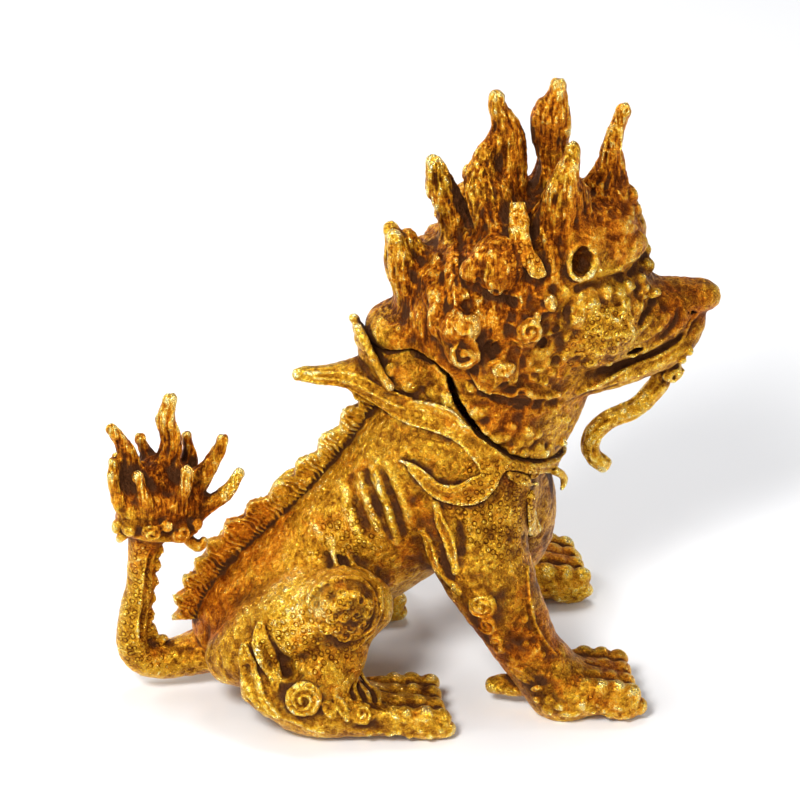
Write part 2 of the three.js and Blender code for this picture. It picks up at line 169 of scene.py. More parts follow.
# %% Eggs and plates
class Ball:
    """An egg with its own half-widths, turned about the row's axes by degrees."""

    def __init__(self, centre, radii, turn=(0, 0, 0), axes=None):
        self.centre, self.radii, self.axes = np.array(centre, float), np.array(radii, float), axes
        if axes is None:
            self.axes = self.turned(turn)

    @staticmethod
    def turned(turn):
        angles = [math.radians(v) for v in turn]
        (cx, sx), (cy, sy), (cz, sz) = ((math.cos(v), math.sin(v)) for v in angles)
        about_x = np.array([[1, 0, 0], [0, cx, -sx], [0, sx, cx]])
        about_y = np.array([[cy, 0, sy], [0, 1, 0], [-sy, 0, cy]])
        about_z = np.array([[cz, -sz, 0], [sz, cz, 0], [0, 0, 1]])
        return (about_z @ about_y @ about_x).T

    def pieces(self):
        reach = self.radii.max() + BAND
        yield 0, self.centre - reach, self.centre + reach

    def distance(self, i, x, y, z):
        x, y, z = x - self.centre[0], y - self.centre[1], z - self.centre[2]
        q = [(x * m[0] + y * m[1] + z * m[2]) for m in self.axes]
        k0 = np.sqrt(sum((v / r) ** 2 for v, r in zip(q, self.radii)))
        k1 = np.sqrt(sum((v / r**2) ** 2 for v, r in zip(q, self.radii)))
        return k0 * (k0 - 1) / np.maximum(k1, 1e-6)


def flat_distance(outline, x, z):
    """How far (x, z) is outside an outline of corners, minus inside."""
    near, inside = np.full(np.broadcast(x, z).shape, 1e9), np.zeros(np.broadcast(x, z).shape, bool)
    for a, b in zip(outline, np.roll(outline, -1, axis=0)):
        d = b - a
        t = np.clip(((x - a[0]) * d[0] + (z - a[1]) * d[1]) / (d @ d), 0, 1)
        near = np.minimum(near, np.hypot(x - a[0] - t * d[0], z - a[1] - t * d[1]))
        if d[1]:
            inside = inside ^ (((a[1] > z) != (b[1] > z)) & (x < d[0] * (z - a[1]) / d[1] + a[0]))
    return np.where(inside, -near, near)


COMB_PITCH = 1.7


class Blade:
    """A plate in the middle plane: an outline of (x, z) corners, `thick` through, combed across `comb`."""

    def __init__(self, outline, thick, comb=(0, 0), comb_depth=0):
        self.outline, self.half = np.array(outline, float), thick / 2
        self.comb, self.comb_depth = comb, comb_depth

    def pieces(self):
        low, high = self.outline.min(0) - BAND, self.outline.max(0) + BAND
        y = self.half + BAND
        yield 0, np.array([low[0], -y, low[1]]), np.array([high[0], y, high[1]])

    def distance(self, i, x, y, z):
        flat = flat_distance(self.outline, x, z)
        way = x * self.comb[0] + z * self.comb[1] + 0.5 * np.sin(0.31 * x) + 0.4 * np.sin(0.9 * z - 0.4 * x)
        line = np.cos(2 * math.pi * way / COMB_PITCH) * (0.6 + 0.4 * np.sin(0.53 * x + 0.4 * z))
        through = np.abs(y) - self.half + self.comb_depth * (0.5 - 0.5 * line)
        outside = np.hypot(np.maximum(flat, 0), np.maximum(through, 0))
        return outside + np.minimum(np.maximum(flat, through), 0)

# %% [markdown]
# ## The field
#
# The field holds a distance at each corner of a fine lattice. A form changes only the corners near it.

# %% The lattice
class Field:
    def __init__(self, low, high, voxel):
        self.voxel, self.low = voxel, np.array(low, float)
        self.shape = tuple(int(math.ceil((h - l) / voxel)) + 1 for l, h in zip(low, high))
        self.values = np.full(self.shape, FAR, np.float32)

    def window(self, low, high):
        """The lattice's part between two corners, and its coordinates as open arrays."""
        first = np.clip(np.floor((low - self.low) / self.voxel).astype(int), 0, self.shape)
        last = np.clip(np.ceil((high - self.low) / self.voxel).astype(int) + 1, 0, self.shape)
        if (last <= first).any():
            return None, None
        axes = [
            (self.low[k] + self.voxel * np.arange(first[k], last[k])).astype(np.float32) for k in range(3)
        ]
        part = tuple(slice(f, l) for f, l in zip(first, last))
        return part, (axes[0][:, None, None], axes[1][None, :, None], axes[2][None, None, :])

    def near(self, form):
        """The window round a whole form, and the form's distance in it."""
        boxes = list(form.pieces())
        whole, _ = self.window(np.min([b[1] for b in boxes], 0), np.max([b[2] for b in boxes], 0))
        if whole is None:
            return None, None
        found = np.full([s.stop - s.start for s in whole], FAR, np.float32)
        for i, low, high in boxes:
            part, axes = self.window(low, high)
            if part is None:
                continue
            local = tuple(slice(s.start - w.start, s.stop - w.start) for s, w in zip(part, whole))
            found[local] = np.minimum(found[local], form.distance(i, *axes))
        return whole, found

    def add(self, form, blend):
        """Joins a form on, with a fillet of about `blend` millimetres."""
        part, found = self.near(form)
        if part is not None:
            self.values[part] = soft_least(self.values[part], found, blend)

    def cut(self, form, blend):
        """Takes a form out, with an edge of about `blend` millimetres."""
        part, found = self.near(form)
        if part is not None:
            self.values[part] = -soft_least(-self.values[part], found, blend)

    def keep(self, distance, blend):
        """Keeps only where `distance`, given for the lattice's coordinates, is below zero."""
        _, axes = self.window(self.low, self.low + self.voxel * (np.array(self.shape) - 1))
        self.values = -soft_least(-self.values, -distance(*axes), blend).astype(np.float32)

    def sample(self, points):
        """The distance at any points, read between the lattice's corners."""
        at = (points - self.low) / self.voxel
        at = np.clip(at, 0, np.array(self.shape) - 1.001)
        base = at.astype(int)
        part = at - base
        out = 0
        for corner in np.ndindex(2, 2, 2):
            weight = np.prod(np.where(corner, part, 1 - part), axis=1)
            index = base + corner
            out = out + weight * self.values[index[:, 0], index[:, 1], index[:, 2]]
        return out

    def mesh(self):
        """The surface where the distance is zero, as points and four-cornered faces."""
        grid = openvdb.FloatGrid(FAR)
        grid.copyFromArray(self.values)
        points, quads = grid.convertToQuads(0.0)
        points, quads = without_crumbs(points, quads.astype(np.int32))
        return points.astype(float) * self.voxel + self.low, quads


def without_crumbs(points, quads):
    """Leaves out what a cut has parted from the casting: every island of fewer than CRUMB faces."""
    island = np.arange(len(points))
    while True:
        wider = island.copy()
        np.minimum.at(wider, quads.ravel(), np.repeat(island[quads].min(1), 4))
        wider = wider[wider]
        if (wider == island).all():
            break
        island = wider
    name, count = np.unique(island[quads[:, 0]], return_counts=True)
    kept = np.isin(island[quads[:, 0]], name[count >= CRUMB])
    used = np.unique(quads[kept])
    place = np.zeros(len(points), np.int32)
    place[used] = np.arange(len(used))
    print("islands of faces:", sorted(count.tolist(), reverse=True)[:8], "- left out", int((~kept).sum()))
    return points[used], place[quads[kept]]

# %% [markdown]
# ## Joining and parting
#
# Wax is joined with a warm tool that leaves a fillet, and cut with a wire along a line. The lesser of two
# distances, rounded where they are close, gives the first. The distance to a line in the middle plane
# gives the second.

# %% Fillets and cutting lines
def soft_least(a, b, blend):
    """The lesser of two distances, rounded where they are close."""
    if blend <= 0:
        return np.minimum(a, b)
    h = np.maximum(blend - np.abs(a - b), 0) / blend
    return np.minimum(a, b) - h * h * blend * 0.25


def past_line(line):
    """How far above a line in the middle plane a point is, minus below it."""
    line = np.array(line, float)

    def distance(x, y, z):
        x2, z2 = np.broadcast_arrays(x[:, 0, :], z[0, :, :])
        near = np.full(x2.shape, 1e9)
        for a, b in zip(line[:-1], line[1:]):
            d = b - a
            t = np.clip(((x2 - a[0]) * d[0] + (z2 - a[1]) * d[1]) / (d @ d), 0, 1)
            near = np.minimum(near, np.hypot(x2 - a[0] - t * d[0], z2 - a[1] - t * d[1]))
        above = z2 > np.interp(x2, line[:, 0], line[:, 1])
        return np.where(above, near, -near)[:, None, :].astype(np.float32)

    return distance


def less(stations, wall):
    """The same stations with thinner sections, for a hollow."""
    return [(x, y, z, a - wall, b - wall) for x, y, z, a, b in stations]

# %% [markdown]
# ## Drawing on a surface
#
# A raised line, a groove or a curl is given by a few points near the surface. They are drawn onto the
# surface of the field as it is then, as wax wire is laid on wax.

# %% Wires, grooves, pellets and curls
def snapped(field, points, lift=0.0):
    """Points moved straight to the field's surface, or `lift` above it."""
    p = np.array(points, float)
    step = 0.4
    for _ in range(12):
        f = field.sample(p)
        slope = np.stack([field.sample(p + step * e) - field.sample(p - step * e) for e in np.eye(3)], 1)
        p = p - (np.clip(f, -3, 3) - lift)[:, None] * unit(slope)
    return p


def out_of(field, point):
    """The way out of the surface at a point."""
    p = np.array([point], float)
    slope = np.stack([field.sample(p + 0.8 * e) - field.sample(p - 0.8 * e) for e in np.eye(3)], 1)
    return unit(slope)[0]


def wire(field, rows, blend, lift=-0.15, flat=1.0, grooves=(0, 0, 0), per=2):
    """A raised line over rows of x, y, z and half-width, of which `flat` gives the height as a part."""
    rows = smooth_line(rows, 3)
    at = snapped(field, rows[:, :3], lift)
    facing = out_of(field, at[len(at) // 2])
    along = unit((at[-1] - at[0])[None])[0]
    across = np.cross(facing, along)
    stations = [tuple(p) + (w, w * flat) for p, w in zip(at, rows[:, 3])]
    field.add(Tube(stations, across=across, per=per, grooves=grooves), blend)


def groove(field, rows, blend, lift=0.3):
    """A cut line over rows of x, y, z and half-width."""
    rows = smooth_line(rows, 3)
    at = snapped(field, rows[:, :3], lift)
    field.cut(Tube([tuple(p) + (w,) for p, w in zip(at, rows[:, 3])], per=1), blend)


def pebble(field, centre, radius, blend, proud):
    """A low round bump on the surface. A greater `proud` lifts it further out."""
    centre = snapped(field, [centre], radius * (proud - 1) * 0.6)[0]
    field.add(Ball(centre, (radius, radius * 0.85, radius * 0.9)), blend)


def laid(field, at, angle):
    """The surface point near `at`, and the axes of a thing laid there: along, out of the surface, across."""
    seat = snapped(field, [at])[0]
    facing = out_of(field, seat)
    level = unit(np.cross((0, 0, 1), facing)[None])[0]
    turn = math.radians(angle)
    along = math.cos(turn) * level + math.sin(turn) * np.cross(facing, level)
    return seat, np.stack([along, facing, np.cross(along, facing)])


def curl(field, centre, radius, half, turns, start, hand, blend=0.35, boss=0.5):
    """A spiral line from `start` degrees, laid on the surface on a flat disc `boss` high."""
    seat, axes = laid(field, centre, 0)
    field.add(Ball(seat, (radius * 1.12, boss, radius * 1.12), axes=axes), 0.6)
    rows = []
    for t in np.linspace(0, 1, int(10 * turns) + 2):
        angle = math.radians(start) + hand * 2 * math.pi * turns * t
        r = radius * (1 - 0.84 * t)
        at = seat + axes[1] * boss + r * (math.cos(angle) * axes[0] + math.sin(angle) * axes[2])
        rows.append(tuple(at) + (half * (0.8 + 0.5 * t),))
    wire(field, rows, blend, lift=half * 0.35, per=1)

# %% [markdown]
# ## The body
#
# Only the right half is worked out, since the left is its mirror image.

# %% Stations of the legs
STANCE, TOE_PITCH = 40, 7.2
FORELEG = [
    (16, -22, 66, 13, 17), (18, -28, 54, 13, 16), (24, -33, 40, 12, 13.5), (32.2, -37, 23, 11, 10.8),
    (40, -39, 12, 11, 11), (44, -39, 4, 11, 10),
]
FOREPAW = [(36, -40, 7, 10, 6), (43, -40, 8.6, 12.5, 9.4), (52, -40, 8, 13.8, 8.6),
           (62, -40, 6.4, 13.8, 6.6)]
SPUR = [(20.5, -32, 7, 2.8, 3), (24, -33, 7.4, 3.4, 3.6), (36, -38, 8.8, 3.8, 4)]
THIGH = [
    (-67, -19, 20, 9, 9), (-60, -23, 24.5, 12.5, 13), (-49, -23.4, 31.5, 16, 16), (-37, -26.4, 37.5, 17, 17),
    (-27, -30.4, 42, 14, 13.6), (-19, -33, 44, 8, 9),
]
SHANK = [
    (-30, -34, 36, 8, 9), (-33.5, -36, 27, 10, 10.5), (-43, -38, 17.5, 12, 12), (-52, -37, 16, 10, 10),
    (-59, -34, 18.5, 8, 8),
]
FOOT = [
    (-49, -38, 10.5, 8, 8.4), (-40, -40, 9.6, 10.5, 9.4), (-29, -40, 8.6, 12, 9), (-16, -40, 6.6, 13.2, 6.8),
    (-4, -40, 5.4, 13.2, 5.6),
]
RIBS = [
    [(-29.1, -11.8, 80.9), (-28.3, -18.4, 76), (-26.4, -22.6, 70.1), (-22.9, -25.5, 63.7)],
    [(-22.8, -14.9, 84.2), (-21.4, -21.2, 78.3), (-18.1, -25.4, 70.8), (-15.9, -26.3, 65.4)],
    [(-17.9, -17.1, 86.4), (-15.7, -23.5, 79), (-12.9, -26.5, 70.9), (-10.3, -26.9, 61.7)],
    [(-12.9, -19.4, 87.8), (-10.4, -24.1, 81.8), (-8.2, -26.6, 75.3), (-5.7, -27.3, 67.9)],
]

# %% [markdown]
# ## Toes
#
# Each paw ends in four toes like bent fingers, modelled as rolls of wax side by side with knuckles
# pressed on. They are tubes with eggs on them, and a groove is then cut between each two.

# %% Toes with knuckles
def toes(field, x, back, rise, front, knuckles):
    """Four blunt toes side by side with knuckles: `rise` high at `back` behind x, `front` high at x."""
    for place in (-1.5, -0.5, 0.5, 1.5):
        side = place * TOE_PITCH
        rows = ((-back, 0.86, rise - 3.6, 2.8, 3.2), (-back * 0.5, 0.95, rise - 5.4, 3.5, 4.8),
                (2, 1.03, front * 0.52, 3.8, front * 0.47), (7.5, 1.06, front * 0.46, 3.7, front * 0.42))
        field.add(Tube([(x + dx, side * fan - STANCE, z, a, b) for dx, fan, z, a, b in rows], per=3), 0.6)
        for dx, z, r in knuckles:
            shift = 0.7 * math.sin(5 * place + dx)
            field.add(Ball((x + dx + shift, side * 1.05 - STANCE, z), (r, 3.3, r * 0.94), (0, 25, 0)), 0.6)
    for place in (-1, 0, 1):
        side = place * TOE_PITCH
        rows = ((-back * 0.8, 0.88, rise - 0.4, 0.4), (-back * 0.4, 0.98, rise - 0.6, 0.6),
                (3, 1.05, front, 0.7),
                (8.4, 1.08, front * 0.8, 0.7), (10.6, 1.08, front * 0.3, 0.7))
        field.cut(Tube([(x + dx, side * fan - STANCE, z, w) for dx, fan, z, w in rows], per=3), 1)

# %% [markdown]
# ## The trunk and the legs
#
# The big forms come first, each joined to the last with a fillet of its own: a tight one where the
# photograph shows a crease, as round the haunch and the foot, and a wide one where muscle runs on, as at
# the shoulder.

# %% The big forms and the ribs
def sculpt_body(field):
    """The right half of the body: trunk, shoulder, hind leg, foreleg, ribs and then the relief."""
    field.add(Tube(TRUNK, per=3), 0)
    field.add(Ball((-4, 0, 118), (11, 14.5, 13)), 4)
    field.add(Ball((31, 0, 58), (18, 20, 27)), 6)
    field.add(Ball((20, -19, 74), (17, 12, 22)), 7)
    field.add(Tube(THIGH), 4.5)
    field.add(Ball((-30.6, -35, 46.5), (12.4, 11, 12.2)), 2.5)
    field.add(Tube(SHANK), 2.5)
    field.add(Tube(FOOT), 2.5)
    toes(field, -7.6, 18, 14, 11.6, ((-5, 11, 2.6), (1.6, 9.8, 3.2), (7.4, 8.2, 3.3), (8.4, 3.6, 3.1)))
    field.add(Tube(FORELEG), 5)
    field.add(Tube(FOREPAW), 3)
    toes(field, 57.6, 10, 17, 14.4, ((-4, 13.6, 3.1), (1.6, 12.2, 3.3), (7, 10.4, 3.4), (8.8, 5, 3.3)))
    for rib in RIBS:
        widths = (0.9, 1.4, 1.7, 1.1)
        wire(field, [point + (w,) for point, w in zip(rib, widths)], 1.8, lift=-0.9)
    for first, second in zip(RIBS[:-1], RIBS[1:]):
        between = [tuple((np.array(p) + np.array(q)) / 2) for p, q in zip(first, second)]
        groove(field, [point + (w,) for point, w in zip(between, (0.3, 0.7, 0.8, 0.4))], 2.2, 0.1)
    detail_hind(field)
    detail_fore(field)

# %% [markdown]
# ## Relief on the hind leg
#
# Two long leaves, a spiral boss at the hock and an oval full of small swirls on the knee. On the wax they
# are wires and pellets laid on with a warm tool. Here each is a thin tube or an egg whose points first
# move to the surface.

# %% Ridges, leaves and swirls
def leaf(field, rows, wide, edge=0.45):
    """A slender leaf: a low swelling with a thin raised line down each side. The lines meet at both tips."""
    line = snapped(field, smooth_line(rows, 4))
    along = unit(np.gradient(line, axis=0))
    out = np.array([out_of(field, p) for p in line])
    side = unit(np.cross(out, along))
    bulge = wide * np.sin(np.linspace(0.12, math.pi - 0.12, len(line)))
    swell = [tuple(p) + (w, w * 0.5) for p, w in zip(line - out * 0.1, bulge * 1.1)]
    hollow = [tuple(p) + (max(0.4, w - 0.9),) for p, w in zip(line + out * wide * 0.75, bulge)]
    field.add(Tube(swell, across=side[len(side) // 2], per=1), 0.8)
    field.cut(Tube(hollow, per=1), 0.6)
    for hand in (1, -1):
        wire(field, [tuple(p) + (edge,) for p in (line + hand * side * bulge[:, None])[::2]], 0.35, 0.15)


def detail_hind(field):
    """The haunch's ridges, the knee's swirls inside a rim, the hock's leaves, the ankle's notches."""
    wire(field, [(-39.3, -15.8, 68.2, 0.6), (-35.7, -21.5, 62.9, 1.1), (-29.3, -30.8, 59.7, 0.8)], 1.4, -0.4)
    wire(field, [(-38.3, -17.3, 67.4, 0.5), (-29.6, -25.2, 62.4, 1), (-22.6, -29, 57.8, 1.2),
                 (-19.4, -34.1, 54.6, 1.2), (-18.2, -40, 49, 1), (-18.9, -43, 42, 0.9),
                 (-21.6, -45, 35.5, 0.8), (-27.5, -46, 33.5, 0.7)], 1, -0.3)
    wire(field, [(-42, -38, 49, 0.6), (-43.4, -37.5, 52.5, 0.8), (-40.8, -37.5, 55.4, 0.8),
                 (-36.8, -37.5, 55, 0.8), (-32.6, -38, 57, 0.8), (-27.4, -38.5, 57, 0.8),
                 (-22.6, -39.5, 54.4, 0.8), (-20.4, -42, 48, 0.8), (-21.6, -44.5, 40.5, 0.8),
                 (-26, -45.5, 37, 0.7), (-32, -45, 38.4, 0.7), (-38, -43, 42, 0.5)], 0.7, 0)
    scatter = np.random.default_rng(SEED + 6)
    for row in range(5):
        for n in range(7):
            x, z = -40.5 + 4.1 * n + 2 * (row % 2), 39.2 + 3.9 * row
            if ((x + 31) / 10) ** 2 + ((z - 47.3) / 8.6) ** 2 < 1:
                at = (x + scatter.uniform(-0.8, 0.8), -44, z + scatter.uniform(-0.8, 0.8))
                r, start, hand = scatter.uniform(1.8, 2.6), scatter.uniform(0, 360), scatter.choice((-1, 1))
                curl(field, at, r, 0.45, 1.2, start, hand, 0.3, 0.3)
    groove(field, [(-57.5, -35, 41, 0.5), (-55.5, -38, 33, 2.2), (-51.5, -41, 27, 2.8),
                   (-46.5, -44, 24.5, 1.6)], 2.2)
    leaf(field, [(-59.8, -34.8, 42.1), (-58.3, -36.4, 35), (-55.6, -39, 27.5), (-54, -43, 20)], 2.7, 0.6)
    leaf(field, [(-64, -34, 33.5), (-62.6, -35.5, 26), (-59.5, -40, 18), (-53.5, -46, 12)], 2.8, 0.6)
    wire(field, [(-53.5, -46, 12, 0.6), (-47, -49, 8.6, 0.8), (-40, -50, 6.2, 0.7)], 0.7)
    curl(field, (-46.4, -48, 19), 5.6, 0.62, 2.1, 160, -1, boss=1.2)
    leaf(field, [(-41, -47, 17.5), (-38.4, -49, 15), (-36.6, -50, 11.6)], 1.6)
    leaf(field, [(-36, -48, 19), (-33.6, -50, 15), (-32, -51, 10.5)], 1.2)
    curl(field, (-27, -51, 12.4), 3.6, 0.55, 1.6, 200, -1, boss=0.8)
    wire(field, [(-23.4, -51, 13.6, 0.5), (-16, -52.6, 11, 0.9), (-6, -53.4, 9.4, 0.7)], 0.8)
    for n in range(3):
        x = -31.5 + 4.2 * n
        groove(field, [(x, -36, 21.5 - 0.8 * n, 0.8), (x + 2, -42, 20 - 0.9 * n, 1.3),
                       (x + 2.6, -47, 16.5, 1)], 0.8)
        wire(field, [(x + 2, -37, 21.5 - 0.8 * n, 0.7), (x + 4, -42.5, 20 - 0.9 * n, 1),
                     (x + 4.4, -47.5, 16.4, 0.8)], 0.8)
    for n in range(8):
        pebble(field, (-25 + 3.4 * n, -52, 4.2 + 1.6 * (n % 2)), 1.5, 0.8, 0.5)

# %% [markdown]
# ## Relief on the foreleg
#
# Two fins stand at the elbow, small spirals run down the back of the leg, a wire runs down its front and
# a row of pellets edges the paw.

# %% Fins, spirals and pellets
def detail_fore(field):
    """The elbow's fins, the swirls down the back of the leg, the line down its front, and the paw's edge."""
    leaf(field, [(2.8, -27.4, 76.9), (2.8, -30.7, 71.5), (4.9, -33.6, 66.8), (5.8, -36.2, 62),
                 (7.4, -37.4, 55)], 1.3, 0.8)
    leaf(field, [(-2.8, -28.4, 67), (-0.2, -28.9, 61.7), (0.8, -30.9, 56.6), (2.7, -34.9, 53.2),
                 (8, -39.6, 48)], 1.4, 0.8)
    groove(field, [(4.6, -31, 62, 0.7), (4.6, -33, 57, 1.8), (6, -36, 52.5, 0.9)], 1.2, 0)
    groove(field, [(9, -33, 71, 0.5), (9.7, -34.9, 66.6, 1.3), (9.4, -36.5, 62, 0.7)], 1.6, 0)
    for x, y, z, r, turn in ((15.4, -42, 44.6, 4.6, 2.1), (16.6, -43, 37, 3.5, 1.7),
                             (19.6, -44, 31.6, 2.6, 1.4), (20.8, -45.4, 27.6, 1.5, 1),
                             (25.4, -46, 24.4, 1.9, 1)):
        curl(field, (x, y, z), r, 0.5, turn, 150, -1, boss=0.6)
    wire(field, [(31.6, -36.3, 54.3, 0.4), (31.2, -40, 49.1, 0.55), (31.7, -42.9, 42.7, 0.65),
                 (33, -45, 36.8, 0.65), (35.6, -45.7, 31.1, 0.6), (40.7, -46.2, 24.7, 0.4)], 0.35, 0.3)
    groove(field, [(30, -42, 42, 0.3), (30.6, -45, 35, 0.5), (34, -47, 28, 0.4)], 0.8, 0.1)
    for x, y, z, r in ((32.5, -47.2, 28.6, 1.9), (31, -45.7, 33.6, 1.6), (29, -44.4, 39, 1.3),
                       (29.4, -46, 30.6, 1.2), (34.4, -46, 25.6, 1.2)):
        curl(field, (x, y, z), r, 0.45, 1, 40 * x, 1, boss=0.4)
    leaf(field, [(22, -46, 21.5), (27, -48, 18.6), (32.5, -50, 15)], 1.5)
    for x, y, z, r in ((33, -50.5, 13.4, 2.1), (36, -51.5, 10, 1.8), (31, -50, 9.6, 1.3),
                       (40, -52, 8.4, 1.4)):
        curl(field, (x, y, z), r, 0.5, 1, 60 * x, -1, boss=0.4)
    scatter = np.random.default_rng(SEED + 9)
    for n in range(16):
        pebble(field, (34 + 1.9 * n, -53, scatter.uniform(3.4, 8.6)), scatter.uniform(1, 1.9), 0.6, 0.5)

# %% [markdown]
# ## One half, mirrored
#
# A modeller would work both flanks. The photograph shows only the right one, so half the field is worked
# out, and the other half is its mirror image. The cobbles at the neck and the spur behind the near
# forepaw come after that.

# %% The body's field
def half_of(low, high, voxel, sculpt):
    """A field made from its right half. The lattice's layer on the middle plane isn't doubled."""
    right = Field((low[0], -math.ceil(-low[1] / voxel) * voxel, low[2]), (high[0], 2 * voxel, high[2]),
                  voxel)
    sculpt(right)
    middle = int(round(-right.low[1] / voxel))
    half = right.values[:, : middle + 1]
    whole = Field(right.low, right.low, voxel)
    whole.values = np.concatenate([half, half[:, :-1][:, ::-1]], axis=1)
    whole.shape = whole.values.shape
    return whole


def above_ground(x, y, z):
    return -z + 0 * x + 0 * y


# place, two half-widths and a turn in degrees
BODY_COBBLES = [
    (0, -16.5, 119.4, 6.4, 4.4, -38), (-3.6, -14.6, 113.6, 3.6, 2.6, -20), (7.4, -20.4, 111.8, 3, 2.3, -70),
    (2.6, -18, 113.4, 3, 2.2, 0), (-8.6, -10, 119.4, 3, 2.4, 60),
]
body_field = half_of((-80, -58, -2), (77, 0, 132), VOXEL, sculpt_body)
for x, y, z, long, wide, angle in BODY_COBBLES:
    for side in (1, -1):
        seat, axes = laid(body_field, (x, y * side, z), angle * side)
        body_field.add(Ball(seat, (long, 1.1, wide), axes=axes), 0.4)
body_field.add(Tube(SPUR), 0.8)
body_field.keep(above_ground, 0.4)
print("body field", body_field.shape)

# %% [markdown]
# ## The crest
#
# A thin plate stands on the backbone, with a tooth for each joint of the back and combed lines across it.

# %% The toothed plate
CREST_THICK, CREST_NOTCH, CREST_ROOT = 4.0, 3.0, 14
SPINE_TIPS = [
    (-9, 113.5), (-17.3, 107.4), (-23.7, 99.8), (-30.6, 91), (-38.8, 82.4), (-46.3, 75.2), (-55.5, 68.5),
    (-63.4, 62.1), (-70.3, 54.8), (-74.5, 47.9), (-78.7, 41.8), (-82.2, 34.4), (-83, 26.4),
]
TAIL_TIPS = [(-84, 19), (-88, 23), (-88.6, 29), (-88, 35), (-87, 41), (-86, 47), (-85, 53), (-83.6, 58)]


def teeth(tips, notch, root):
    """The outline of a toothed plate: over the tips and notches, and back along its root."""
    tips = np.array(tips, float)
    ways = unit(np.gradient(tips, axis=0))
    inward = np.stack([ways[:, 1], -ways[:, 0]], 1) * -1
    edge, foot = [], []
    for i, tip in enumerate(tips):
        edge.append(tip)
        if i + 1 < len(tips):
            edge.append(tip + (tips[i + 1] - tip) * 0.22 + inward[i] * notch * 0.25)
            edge.append(tip + (tips[i + 1] - tip) * 0.5 + inward[i] * notch)
        foot.append(tip + inward[i] * root)
    return edge + foot[::-1]


def sculpt_crest(field):
    """The right half of the toothed plate, combed along the fall of the back."""
    fall = unit(np.array([SPINE_TIPS[-1]]) - np.array([SPINE_TIPS[0]]))[0]
    field.add(Blade(teeth(SPINE_TIPS, CREST_NOTCH, CREST_ROOT), CREST_THICK, fall, 0.9), 0)


crest_field = half_of((-96, -8, 14), (2, 0, 120), VOXEL * 0.65, sculpt_crest)
print("crest field", crest_field.shape, "with", len(SPINE_TIPS), "teeth")

# %% [markdown]
# ## The tail
#
# The tail leaves the rump, turns up and ends in a cup of curls from which a dozen flames rise. Each flame
# is an S-curve with a round tip and a few strands along it.

# %% The tail and its flames
TAIL_CUP = [(-90.3, -10, 66.6, 3.3, 1), (-80.6, -10, 64.8, 3.3, -1), (-85.4, -10, 68.6, 2, 1),
            (-97, -8, 67.6, 2.4, -1), (-75.4, -7, 66, 2.2, 1), (-84, 9, 65, 3, 1), (-93, 8, 66, 3, -1)]
TUFT = [
    [(-87.5, 0, 74, 4.6, 5.4), (-86.6, 0, 79.6, 4, 4.6), (-83.2, 0, 87.6, 3.5, 4),
     (-81.6, 0, 94.6, 3.3, 3.7), (-83.4, 0, 102.4, 2.9, 3.3), (-81.8, 0, 109.4, 2.1, 2.2)],
    [(-93, -1, 76, 4.2, 5), (-95.2, -2, 83.6, 3.2, 4), (-96.4, -2, 90.6, 2.7, 3.2), (-99, -2, 97, 2.3, 2.6),
     (-102, -2, 101.4, 1.8, 2)],
    [(-88, 5, 76, 4), (-88.7, 6, 84, 2.8), (-91, 6, 92.6, 1.7)],
    [(-77, 5, 74, 4), (-74.8, 6, 84, 2.7), (-75.5, 6, 91.8, 1.6)],
    [(-80, -1, 70, 4, 5), (-75.4, -1, 76.4, 3.2, 4), (-70.6, -1, 82.4, 2.7, 3.3),
     (-66.4, -1, 88.6, 2.3, 2.7), (-64.7, -1, 93.2, 1.9)],
    [(-81, -3, 66, 4), (-73.4, -3, 68.6, 3, 3.6), (-67.6, -3, 71.6, 2.5, 3), (-62.6, -3, 76, 2.1, 2.4),
     (-59.6, -3, 81, 1.7)],
    [(-92, -3, 70, 3.6), (-97.4, -4, 76, 2.8), (-100.6, -4, 83, 2.2), (-101.6, -4, 90.4, 1.6)],
    [(-93, -5, 66.6, 3.6), (-98.6, -6, 72, 2.6), (-101.8, -6, 79.6, 2), (-102.4, -6, 86.4, 1.5)],
    [(-89.6, -7, 69, 3), (-91, -9, 74.6, 2.2), (-93, -9.5, 81, 1.9), (-94.8, -9.5, 87, 1.7)],
    [(-84, -7, 69, 3.2), (-81.4, -9, 75.4, 2.2), (-79, -9.5, 81, 2.2), (-78.1, -9.5, 87, 1.9)],
    [(-96, 4, 72, 3.4), (-99.4, 6, 80, 2.2), (-99, 7, 86, 1.5)],
    [(-76, 5, 68, 3.4), (-69.6, 7, 74, 2.3), (-66, 8, 80, 1.6)],
]

# %% [markdown]
# ## Flames and curls
#
# A flame is rolled, bent and combed along its length, and its tip is pressed into a knob. So it is a
# grooved tube with an egg on its end. Curls go round the cup, and a thin ridge and its groove follow the
# tail's side.

# %% The tail's field
def flame(field, line, grooves, blend):
    """A flame with strands along it and a round knob on its tip."""
    field.add(Tube(line, per=5, cap=1.0, grooves=grooves), blend)
    tip, half = line[-1][:3], line[-1][3]
    field.add(Ball(tip, (half * 1.12, half * 1.12, half * 1.25)), 0.5)


